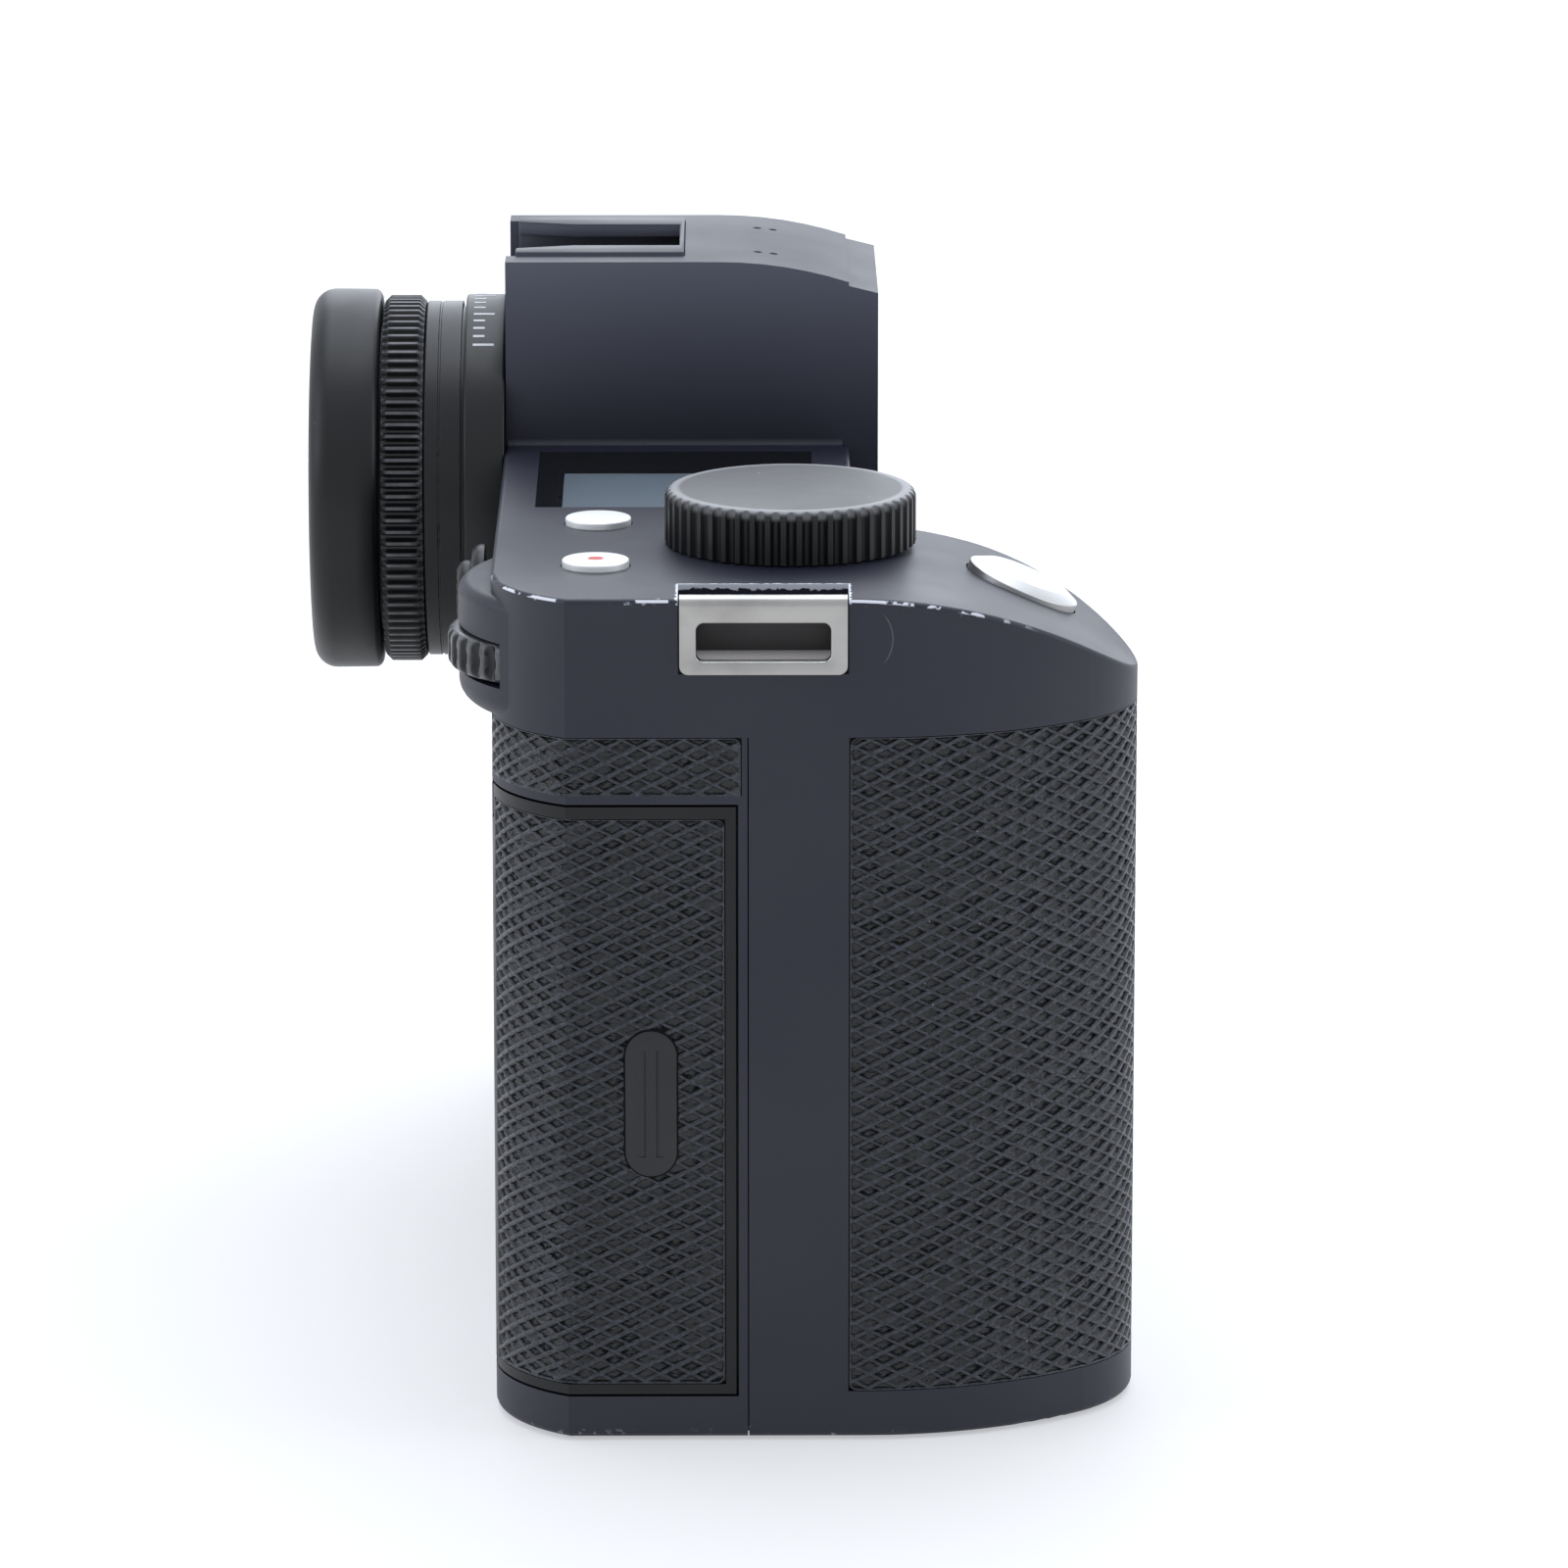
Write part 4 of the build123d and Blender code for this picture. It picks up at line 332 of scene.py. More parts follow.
# Coverings of the grip, the rear, the far end and the card door. Each is a sheet of black
# synthetic rubber, moulded with a lattice of slanted ribs, three millimetres from rib to rib, and
# glued into a shallow recess of its shell.
DIAMOND_W, DIAMOND_H, RIB_DEPTH, CORNER_R = 3.0, 1.49, 0.30, 0.8
GRIP_X, FAR_X, REAR_Y, FRONT_Y = -89.5, 57.5, 18.3, -17.55
REAR_R, REAR_R_Y, REAR_R_END = 14.7, 3.6, 10.9
SHEET_LOW, SHEET_HIGH = 4.85, 70.9
chance = random.Random(5)

lean = math.degrees(math.asin((REAR_R_END - REAR_R_Y) / REAR_R))
corner_run = REAR_R * math.cos(math.radians(lean))
nose_turn = 180 + math.degrees(math.atan2(-18.3 + 30.8, -55.3889 + 70.5))

# The plan of the wall that the sheets lie on, run by run: a straight one has its two ends, a round
# one its centre, its radius and the angles at which it begins and ends.
WALL = [
    ("rear", (0, REAR_Y), (GRIP_X + corner_run, REAR_Y)),
    ("rear corner", (GRIP_X + corner_run, REAR_R_Y), REAR_R, 90, 180 - lean),
    ("grip end", (GRIP_X, REAR_R_END), (GRIP_X, -18.3)),
    ("grip side", (-55.3889, -18.3), 34.1111, 180, nose_turn),
    ("nose", (-70.5, -30.8), 14.5, nose_turn, 270),
    ("inner nose", (-70.5, -28.8), 16.5, 270, 360),
    ("inner side", (-54, -28.8), (-54, -22.55)),
    ("grip root", (-49, -22.55), 5, 180, 90),
    ("front", (-49, FRONT_Y), (49.5, FRONT_Y)),
    ("front corner", (49.5, -9.55), 8, 270, 360),
    ("far end", (FAR_X, -9.55), (FAR_X, REAR_R_END)),
    ("far corner", (FAR_X - corner_run, REAR_R_Y), REAR_R, lean, 90),
    ("far rear", (FAR_X - corner_run, REAR_Y), (0, REAR_Y)),
]


def length_of(run):
    """Length of one run of the wall in millimetres."""
    if len(run) == 3:
        return (Vector(run[2]) - Vector(run[1])).length
    return abs(math.radians(run[4] - run[3])) * run[2]


def along(name, value):
    """Distance along the wall at which a straight run, or its straight prolongation, reaches a value
    of the axis that it follows."""
    index = [run[0] for run in WALL].index(name)
    begin, goal = WALL[index][1:]
    axis = 0 if begin[1] == goal[1] else 1
    ahead = math.copysign(1, goal[axis] - begin[axis]) * (value - begin[axis])
    return sum(length_of(run) for run in WALL[:index]) + ahead


def on_wall(distance):
    """Plan position and outward direction at a distance along the wall."""
    for run in WALL:
        length = length_of(run)
        if distance <= length or run is WALL[-1]:
            break
        distance -= length
    if len(run) == 3:
        ahead = (Vector(run[2]) - Vector(run[1])).normalized()
        return Vector(run[1]) + ahead * distance, Vector((ahead.y, -ahead.x))
    angle = math.radians(run[3] + (run[4] - run[3]) * distance / length)
    ray = Vector((math.cos(angle), math.sin(angle)))
    return Vector(run[1]) + ray * run[2], ray if run[4] > run[3] else -ray


def cut(bm, place, direction, clear=False):
    """Cuts a flat sheet along a line, and clears what lies behind it if asked."""
    bmesh.ops.bisect_plane(
        bm, geom=bm.verts[:] + bm.edges[:] + bm.faces[:], dist=1e-4,
        plane_co=place, plane_no=direction, clear_inner=clear,
    )


def piece(bm, name, body, material, sharp=40):
    """Makes a finished mesh an object that rides on a body; sizes come in millimetres."""
    bmesh.ops.scale(bm, vec=(MM, MM, MM), verts=bm.verts)
    mesh = bpy.data.meshes.new(name)
    bm.to_mesh(mesh)
    bm.free()
    mesh.shade_smooth()
    mesh.set_sharp_from_angle(angle=math.radians(sharp))
    mesh.materials.append(material)
    thing = bpy.data.objects.new(name, mesh)
    scene.collection.objects.link(thing)
    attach(thing, body)
    return thing


def verts_of(made):
    """The vertices in what an operator returned."""
    return [v for v in made["geom"] if isinstance(v, bmesh.types.BMVert)]


def shape_diamond(face, lengthways, across, stray):
    """Sets a sunk diamond's corners by their shares of the two rib directions, a little unevenly."""
    middle = face.calc_center_median()
    for v in face.verts:
        x, y = (v.co.x - middle.x) / DIAMOND_W, (v.co.y - middle.y) / DIAMOND_H
        first = math.copysign(lengthways + chance.uniform(-stray, stray), x + y)
        second = math.copysign(across + chance.uniform(-stray, stray), x - y)
        v.co.x = middle.x + (first + second) / 2 * DIAMOND_W
        v.co.y = middle.y + (first - second) / 2 * DIAMOND_H
        v.co.z += chance.uniform(-stray, stray) * 2


SIDE_GAP, EDGE_GAP, SKIRT = 0.12, 0.08, 0.6


def covering(name, body, start, end, low, high, openings=(), round_hole=None):
    """Lattice of sunk diamonds between two distances along the wall and two heights."""
    start, end, low, high = start + SIDE_GAP, end - SIDE_GAP, low + EDGE_GAP, high - EDGE_GAP
    bm = bmesh.new()
    cells = math.ceil((end - start) / DIAMOND_W + (high - low) / DIAMOND_H) + 2
    bmesh.ops.create_grid(bm, x_segments=cells, y_segments=cells, size=cells / 2 * math.sqrt(0.5))
    bmesh.ops.rotate(bm, cent=(0, 0, 0), matrix=Matrix.Rotation(math.pi / 4, 3, "Z"), verts=bm.verts)
    bmesh.ops.scale(bm, vec=(DIAMOND_W, DIAMOND_H, 1), verts=bm.verts)
    shift(bm, ((start + end) / 2, (low + high) / 2, 0))
    sides, edges = ((start, 1), (end, -1)), ((low, 1), (high, -1))
    for x, x_sign in sides:
        cut(bm, (x, 0, 0), (x_sign, 0, 0), clear=True)
    for z, z_sign in edges:
        cut(bm, (0, z, 0), (0, z_sign, 0), clear=True)
    for x, x_sign in sides:
        for z, z_sign in edges:
            for angle in (18, 45, 72):
                turned_in = math.radians(angle)
                inward = Vector((x_sign * math.cos(turned_in), z_sign * math.sin(turned_in), 0))
                centre = Vector((x + x_sign * CORNER_R, z + z_sign * CORNER_R, 0))
                cut(bm, centre - inward * CORNER_R, inward, clear=True)
    for x0, x1, z0, z1 in openings:
        for x in (x0, x1):
            cut(bm, (x, 0, 0), (1, 0, 0))
        for z in (z0, z1):
            cut(bm, (0, z, 0), (0, 1, 0))
        middles = [(f, f.calc_center_median()) for f in bm.faces]
        inside = [f for f, middle in middles if x0 < middle.x < x1 and z0 < middle.y < z1]
        bmesh.ops.delete(bm, geom=inside, context="FACES")
    if round_hole:
        centre, radius = Vector((*round_hole[:2], 0)), round_hole[2]
        crossing = []
        for edge in bm.edges[:]:
            near, away = ((v.co - centre).length - radius for v in edge.verts)
            if near * away < 0:
                fresh = bmesh.utils.edge_split(edge, edge.verts[0], near / (near - away))[1]
                fresh.co = centre + (fresh.co - centre).normalized() * radius
                crossing.append(fresh)
        bmesh.ops.connect_verts(bm, verts=crossing)
        inside = [f for f in bm.faces if (f.calc_center_median() - centre).length < radius]
        bmesh.ops.delete(bm, geom=inside, context="FACES")
    whole = DIAMOND_W * DIAMOND_H / 2
    diamonds = [f for f in bm.faces if f.calc_area() > 0.4 * whole]
    full = [f for f in diamonds if f.calc_area() > 0.99 * whole]
    bmesh.ops.inset_individual(bm, faces=diamonds, thickness=0.11, depth=-0.03, use_even_offset=True)
    for f in full:
        shape_diamond(f, 0.44, 0.37, 0.01)
    bmesh.ops.inset_individual(bm, faces=diamonds, thickness=0.12, depth=-RIB_DEPTH, use_even_offset=True)
    for f in full:
        shape_diamond(f, 0.345, 0.265, 0.03)
    bmesh.ops.poke(bm, faces=diamonds, offset=0.08)
    rims = [e for e in bm.edges if e.is_boundary]
    shift(bm, (0, 0, -SKIRT), verts_of(bmesh.ops.extrude_edge_only(bm, edges=rims)))
    crest = bm.verts.layers.float.new("rib")
    for v in bm.verts:
        v[crest] = 1.0 if v.co.z > -0.02 else 0.35 if v.co.z > -0.06 else 0.0
        place, outward = on_wall(v.co.x)
        spot = place + outward * v.co.z
        v.co = (spot.x, spot.y, v.co.y)
    return piece(bm, name, body, covering_rubber, sharp=75)


covering_rubber, tree, shader = finish("covering_rubber", (0.010, 0.012, 0.017), (0.25, 0.38, 70.0))
ribs = tree.nodes.new("ShaderNodeAttribute")
ribs.attribute_name = "rib"
# Painted shade: the sunk diamonds are coloured far darker than the ribs, for the shade that lies in them;
# the ribs are lighter where worn.
mottle = ranged(noise(tree, 1900.0, 5.0, stretch=(1, 1, 1.5)), 0.40, 0.62)
sunk = tinted(mottle, (0.0008, 0.0010, 0.0015), (0.0080, 0.0098, 0.0140))
raised = tinted(mottle, (0.0065, 0.0080, 0.0120), (0.031, 0.038, 0.053))
worn_ribs_shaded_diamonds = tinted(ribs.outputs["Fac"], sunk, raised)
specks = placed(tree, dusty, Scale=900.0, Size=0.06, Share=0.22)
feed(shader.inputs["Base Color"], tinted(specks, worn_ribs_shaded_diamonds, (0.42, 0.44, 0.47)))
bumped(shader, noise(tree, 1500.0, 4.0, stretch=(1, 1, 1.7)), 0.00024)

RELEASE_X, RELEASE_Z, RELEASE_HOLE_R = -42.0, 34.0, 5.4
grip = covering(
    "grip_covering", "camera_body", along("grip end", -16.6), along("front", -36), SHEET_LOW, SHEET_HIGH,
    round_hole=(along("front", RELEASE_X), RELEASE_Z, RELEASE_HOLE_R),
)
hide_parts("grip_leather")
strip = covering(
    "rear_covering", "camera_body", along("rear", -56), along("grip end", -6.2), SHEET_LOW, SHEET_HIGH,
    openings=[(along("rear", -75.7), along("grip end", -19.1), 4.8, 65.1)],
)
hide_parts("rear_leather")
far = covering(
    "far_covering", "camera_body", along("front", 36), along("far rear", 42), SHEET_LOW, SHEET_HIGH,
    openings=[(along("far end", -10.1), along("far end", 8.25), 11.75, 60.25)],
)
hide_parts("far_leather")
door_skin = covering(
    "card_door_covering", "card_door", along("rear", -79.82), along("grip end", -4.6), 5.6, 62.8,
)
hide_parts("card_door_leather")


# Card door. A thin black door wraps round the rear corner and carries its own covering inside a
# plain rim. It slides back and then swings on a steel pin. A long finger pad with two moulded
# grooves is let into the flat end.
black_moulding = finish(
    "black_moulding", (0.003, 0.0033, 0.0042), (0.38, 0.52, 80.0), (5000.0, 0.000008),
    Specular_IOR_Level=0.36,
)[0]
dress(black_moulding, "card_door", "card_slot_block", "port_block")
dress(black_moulding, "battery_bay", "light_baffle", "shutter_frame")


def soften(bm, width, segments=2):
    """Rounds every edge that turns by more than 25 degrees."""
    sharp = [e for e in bm.edges if len(e.link_faces) == 2 and e.calc_face_angle(0) > math.radians(25)]
    bmesh.ops.bevel(
        bm, geom=sharp, offset=width, offset_type="OFFSET", segments=segments,
        profile=0.5, affect="EDGES", material=-1, clamp_overlap=True,
    )


def slab(bm, x, y, z):
    """Box between a low and a high value on each axis; returns its vertices."""
    made = bmesh.ops.create_cube(bm, size=1.0)["verts"]
    bmesh.ops.scale(bm, vec=(x[1] - x[0], y[1] - y[0], z[1] - z[0]), verts=made)
    shift(bm, ((x[0] + x[1]) / 2, (y[0] + y[1]) / 2, (z[0] + z[1]) / 2), made)
    return made


def oblong(bm, width, height, radius, steps=8, cap=False):
    """Rectangle with round corners, lying flat round the origin; returns its vertices."""
    made = bmesh.ops.create_circle(bm, cap_ends=cap, segments=4 * steps, radius=radius)["verts"]
    half_step = Matrix.Rotation(math.pi / (4 * steps), 3, "Z")
    bmesh.ops.rotate(bm, cent=(0, 0, 0), matrix=half_step, verts=made)
    for v in made:
        v.co.x += math.copysign(width / 2 - radius, v.co.x)
        v.co.y += math.copysign(height / 2 - radius, v.co.y)
    return made


def thicken(bm, faces, depth):
    """Extrudes flat-lying faces up or down by a depth, closed on both sides."""
    shift(bm, (0, 0, depth), verts_of(bmesh.ops.extrude_face_region(bm, geom=faces, use_keep_orig=True)))
    bmesh.ops.recalc_face_normals(bm, faces=bm.faces)


def aimed(bm, side, place, verts=None):
    """Turns what lies flat so that its top looks out of a side, and moves it into place."""
    rows = {
        "grip end": ((0, 0, -1), (-1, 0, 0), (0, 1, 0)),
        "far end": ((0, 0, 1), (1, 0, 0), (0, 1, 0)),
        "rear": ((-1, 0, 0), (0, 0, 1), (0, 1, 0)),
        "front": ((1, 0, 0), (0, 0, -1), (0, 1, 0)),
        "base": ((1, 0, 0), (0, -1, 0), (0, 0, -1)),
    }[side]
    turned_there = Matrix.Translation(place) @ Matrix(rows).to_4x4()
    bmesh.ops.transform(bm, matrix=turned_there, verts=verts or bm.verts)


PAD_Y, PAD_Z, PAD_W, PAD_H, PAD_PROUD = 2.7, 34.25, 5.25, 14.9, 0.25
GROOVE_IN, GROOVE_OUT, GROOVE_HALF, GROOVE_DEEP, GROOVE_SHALLOW = 0.53, 1.4, 5.4, 0.15, 0.01

bm = bmesh.new()
oblong(bm, PAD_W - 0.2, PAD_H - 0.2, PAD_W / 2 - 0.11, steps=12, cap=True)
thicken(bm, bm.faces[:], -1.2)
soften(bm, 0.1)
for x in (-GROOVE_OUT, -GROOVE_IN, GROOVE_IN, GROOVE_OUT):
    cut(bm, (x, 0, 0), (1, 0, 0))
for y in (-GROOVE_HALF, GROOVE_HALF):
    cut(bm, (0, y, 0), (0, 1, 0))
bm.normal_update()
flat = [(f, f.calc_center_median()) for f in bm.faces if abs(f.normal.z) > 0.99]
flat = [(f, m) for f, m in flat if m.z > -0.01 and abs(m.y) < GROOVE_HALF]
floors = [f for f, m in flat if GROOVE_IN < abs(m.x) < GROOVE_OUT]
for v in verts_of(bmesh.ops.extrude_face_region(bm, geom=floors)):
    v.co.z -= GROOVE_DEEP if abs(v.co.x) < GROOVE_IN + 0.1 else GROOVE_SHALLOW
bmesh.ops.delete(bm, geom=[f for f in floors if f.is_valid], context="FACES")
aimed(bm, "grip end", (GRIP_X - PAD_PROUD, PAD_Y, PAD_Z))
pad_black = finish("pad_black", (0.006, 0.0065, 0.008), (0.42, 0.56, 90.0), (5000.0, 0.000005))[0]
pad = piece(bm, "card_door_finger_pad", "card_door", pad_black)
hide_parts("card_door_pad")

# Painted shade: a near-black oblong just behind the pad shows as a dark line round it, for the shade in
# the gap.
painted_shade_black = finish("painted_shade_black", (0.0012, 0.0012, 0.0015), (0.7, 0.9, 90.0), Specular_IOR_Level=0.2)[0]
bm = bmesh.new()
oblong(bm, PAD_W + 0.1, PAD_H + 0.1, PAD_W / 2 + 0.04, steps=12, cap=True)
thicken(bm, bm.faces[:], -0.6)
aimed(bm, "grip end", (GRIP_X - 0.07, PAD_Y, PAD_Z))
piece(bm, "card_door_pad_shade", "card_door", painted_shade_black)


# Strap lugs. Each is a frame of brushed steel, bent in at its rolled upper edge and screwed into a
# notch of the top cover. Through its window, which has round corners, a steel floor is seen, and
# behind it a wall painted near-black for the shade in the pocket.
LUG_Y, LUG_W, LUG_LOW, LUG_HIGH, LUG_T, LUG_R, LUG_PROUD = -8.3, 16.25, 77.2, 84.88, 1.2, 0.85, 0.3
WINDOW_W, WINDOW_LOW, WINDOW_H, WINDOW_R, ROLL_R = 13.0, 78.46, 3.8, 0.75, 0.95
POCKET_DEPTH, POCKET_TOP, POCKET_HALF, POCKET_WALL = 5.2, 83.6, 7.9, 0.5


def arc(centre, radius, start, end, steps):
    """Points on an arc of a profile, from one angle in degrees to another."""
    angles = [math.radians(start + (end - start) * i / steps) for i in range(steps + 1)]
    return [(centre[0] + radius * math.cos(a), centre[1] + radius * math.sin(a)) for a in angles]


def swept(bm, outline, vec):
    """Sweeps a closed outline of points along a vector into a solid bar."""
    start = bm.faces.new([bm.verts.new(place) for place in outline])
    shift(bm, vec, verts_of(bmesh.ops.extrude_face_region(bm, geom=[start])))
    bmesh.ops.recalc_face_normals(bm, faces=bm.faces)


STEEL = (0.43, 0.42, 0.405)
brushed_steel, tree, shader = plain("brushed_steel", STEEL, Metallic=1.0)
streaks = noise(tree, 900.0, 4.0, stretch=(1, 0.06, 1))
feed(shader.inputs["Roughness"], ranged(streaks, 0.3, 0.7, 0.28, 0.42))
marks = ranged(noise(tree, 160.0, 5.0), 0.45, 0.75)
feed(shader.inputs["Base Color"], tinted(marks, STEEL, (0.33, 0.32, 0.305)))
bumped(shader, streaks, 0.000006)
# Painted shade: the pocket's wall is near-black for the shade in the notch.
pocket_shade_wall = finish("pocket_shade_wall", (0.022, 0.018, 0.018), (0.4, 0.6, 80.0))[0]
pocket_floor = finish("pocket_floor", (0.30, 0.275, 0.26), (0.5, 0.65, 80.0), (3000.0, 0.00001))[0]

for side, sign in (("grip end", -1), ("far end", 1)):
    bm = bmesh.new()
    face_x = (GRIP_X if sign < 0 else FAR_X) + sign * LUG_PROUD
    middle, half_h = (LUG_LOW + LUG_HIGH) / 2, (LUG_HIGH - LUG_LOW) / 2
    outline = [(LUG_W / 2, half_h - ROLL_R), (-LUG_W / 2, half_h - ROLL_R)]
    for x_sign, first in ((-1, 180), (1, 270)):
        outline += arc((x_sign * (LUG_W / 2 - LUG_R), -half_h + LUG_R), LUG_R, first, first + 90, 6)
    outer = [bm.verts.new((x, y, 0)) for x, y in outline]
    window = oblong(bm, WINDOW_W, WINDOW_H, WINDOW_R)
    shift(bm, (0, WINDOW_LOW + WINDOW_H / 2 - middle, 0), window)
    for pair in zip(outer, outer[1:] + outer[:1]):
        bm.edges.new(pair)
    plate = bmesh.ops.triangle_fill(bm, use_beauty=True, use_dissolve=False, edges=bm.edges[:])["geom"]
    thicken(bm, [f for f in plate if isinstance(f, bmesh.types.BMFace)], -LUG_T)
    rim = [e for e in bm.edges if all(v in window for v in e.verts)]
    bmesh.ops.bevel(
        bm, geom=rim, offset=0.22, offset_type="OFFSET", segments=2,
        profile=0.5, affect="EDGES", material=-1,
    )
    roll_y = half_h - ROLL_R
    roll = [(roll_y, -LUG_T), *arc((roll_y, -ROLL_R), ROLL_R, 90, 0, 10), (half_h, -LUG_T)]
    swept(bm, [(-LUG_W / 2, y, z) for y, z in roll], (LUG_W, 0, 0))
    aimed(bm, side, (face_x, LUG_Y, middle))
    end_name = side.replace(" ", "_")
    lug = piece(bm, "strap_lug_" + end_name, "camera_body", brushed_steel, sharp=50)
    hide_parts("strap_lugs")
    inner = face_x - sign * POCKET_DEPTH
    wall_x = sorted((inner, inner - sign * POCKET_WALL))
    bm = bmesh.new()
    slab(bm, wall_x, (LUG_Y - POCKET_HALF, LUG_Y + POCKET_HALF), (LUG_LOW + 0.1, POCKET_TOP))
    piece(bm, "strap_lug_shade_wall_" + end_name, "camera_body", pocket_shade_wall)
    floor_x, floor_half = sorted((face_x - sign * LUG_T, inner)), WINDOW_W / 2 + 0.3
    bm = bmesh.new()
    slab(bm, floor_x, (LUG_Y - floor_half, LUG_Y + floor_half), (WINDOW_LOW - 0.6, WINDOW_LOW + 0.02))
    piece(bm, "strap_lug_floor_" + end_name, "camera_body", pocket_floor)


# Top dial. It is turned from light alloy and anodised black, with fifty fluted hollows that run
# out under a softly rounded rim. It turns on a shaft in the top cover.
DIAL_AT, DIAL_R, DIAL_LOW, DIAL_TOP, DIAL_ROUND = (-62.6, -11.1), 12.45, 84.68, 90.1, 0.9
FLUTES, FLUTE_SHARE, FLUTE_DEPTH = 50, 0.6, 0.6


def turned(bm, profile, steps):
    """Spins a line of (radius, height) points once round the upright axis; returns the vertices."""
    before = set(bm.verts)
    line = [bm.verts.new((r, 0, z)) for r, z in profile]
    edges = [bm.edges.new(pair) for pair in zip(line, line[1:])]
    bmesh.ops.spin(bm, geom=line + edges, axis=(0, 0, 1), angle=math.tau, steps=steps, use_merge=True)
    fresh = [v for v in bm.verts if v not in before]
    bmesh.ops.remove_doubles(bm, verts=fresh, dist=1e-4)
    fresh = [v for v in bm.verts if v not in before]
    bmesh.ops.recalc_face_normals(bm, faces=list({f for v in fresh for f in v.link_faces}))
    return fresh


def fluted(bm, verts, count, share, depth, radius, barrel=None):
    """Cuts hollows into a turned side, straight or scooped towards a middle height with a reach; returns
    how deep each numbered vertex went, as a share."""
    pressed = {}
    bm.verts.index_update()
    for v in verts:
        reach = math.hypot(v.co.x, v.co.y)
        phase = math.atan2(v.co.y, v.co.x) / math.tau * count
        scoop = 1 - ((v.co.z - barrel[0]) / barrel[1]) ** 2 if barrel else 1
        phase = abs(phase - round(phase)) * 2 / (share * math.sqrt(scoop))
        if phase < 1:
            floor_r = radius - depth * scoop * math.sqrt(1 - phase**2)
            if reach > floor_r:
                pressed[v.index] = (reach - floor_r) / depth
                v.co.xy *= floor_r / reach
    return pressed


ANODISED, DIAL_GRAIN = (0.004, 0.0043, 0.005), (7000.0, 0.000005)
black_anodised, tree, shader = finish(
    "black_anodised", ANODISED, (0.34, 0.44, 70.0), DIAL_GRAIN, Specular_IOR_Level=0.38
)
wear = placed(tree, rubbed, Width=0.00016, Amount=0.32, Scale=1200.0)
specks = placed(tree, dusty, Scale=520.0, Size=0.07, Share=0.07)
worn = tinted(wear, ANODISED, (0.03, 0.03, 0.032))
feed(shader.inputs["Base Color"], tinted(specks, worn, (0.30, 0.30, 0.31)))

bm = bmesh.new()
side = [(DIAL_R - 0.1, DIAL_LOW), (DIAL_R, DIAL_LOW + 0.1)]
rim = arc((DIAL_R - DIAL_ROUND, DIAL_TOP - DIAL_ROUND), DIAL_ROUND, 0, 90, steps=14)
profile = [(0, DIAL_LOW), (DIAL_R - 0.8, DIAL_LOW), *side, *rim, (8.0, DIAL_TOP), (0, DIAL_TOP)]
wall = turned(bm, profile, steps=FLUTES * 12)
fluted(bm, wall, FLUTES, FLUTE_SHARE, FLUTE_DEPTH, DIAL_R)
turned(bm, [(0, 79.6), (3.0, 79.6), (3.0, DIAL_LOW), (0, DIAL_LOW)], steps=64)
shift(bm, (*DIAL_AT, 0))
dial_black, tree, shader = finish("dial_black", (0.02, 0.02, 0.021), (0.36, 0.46, 70.0), DIAL_GRAIN)
x, y, z = axes(tree)
reach = away_from((x, y), [value * MM for value in DIAL_AT])
# Painted light: the flat top is coloured lighter than the fluted side, and the rounded rim much lighter
# again, for the highlights they catch.
on_rim = calc("MULTIPLY", ranged(reach, 0.0109, 0.0113), ranged(reach, 0.01235, 0.0120))
painted_rim_highlight = calc("MULTIPLY", on_rim, ranged(z, 0.0890, 0.0894))
painted_top_light = ranged(z, 0.08995, 0.09005)
flat = tinted(painted_top_light, (0.0035, 0.0037, 0.0042), (0.030, 0.031, 0.033))
flat = tinted(painted_rim_highlight, flat, (0.20, 0.20, 0.206))
specks = placed(tree, dusty, Scale=520.0, Size=0.07, Share=0.08)
feed(shader.inputs["Base Color"], tinted(specks, flat, (0.40, 0.40, 0.41)))
dial = piece(bm, "fluted_top_dial", "top_dial", dial_black, sharp=35)
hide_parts("top_dial")


# Round buttons. Two low domed buttons stand in the top cover and the shutter button lies in the
# slope of the grip, with a wide bevel round a shallow dish. All are satin silver metal, and one
# has a plain red spot.
SATIN = (9000.0, 0.000004)
satin_silver = finish("satin_silver", (0.93, 0.92, 0.90), (0.36, 0.44, 120.0), SATIN, Metallic=0.35)[0]
red_spot = finish("red_spot", (0.62, 0.07, 0.06), (0.3, 0.4, 120.0))[0]

BUTTON_R, BUTTON_FOOT, BUTTON_TOP, BUTTON_Y, DISPLAY_X, RECORD_X = 3.3, 84.2, 85.32, 8.07, -53.7, -73.8
for name, body, x in (("display", "display_button", DISPLAY_X), ("record", "record_button", RECORD_X)):
    bm = bmesh.new()
    rim = arc((BUTTON_R - 0.22, BUTTON_TOP - 0.26), 0.22, 0, 80, steps=5)
    stem = [(0, 80.6), (1.2, 80.6), (1.2, BUTTON_FOOT), (BUTTON_R, BUTTON_FOOT)]
    turned(bm, [*stem, *rim, (2.2, BUTTON_TOP - 0.01), (0, BUTTON_TOP)], steps=96)
    shift(bm, (x, BUTTON_Y, 0))
    button = piece(bm, name + "_button_cap", body, satin_silver, sharp=45)
    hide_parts(body)
bm = bmesh.new()
turned(bm, [(0, 0.02), (0.8, 0.015), (0.82, -0.05)], steps=32)
shift(bm, (RECORD_X, BUTTON_Y, BUTTON_TOP))
piece(bm, "record_button_spot", "record_button", red_spot)

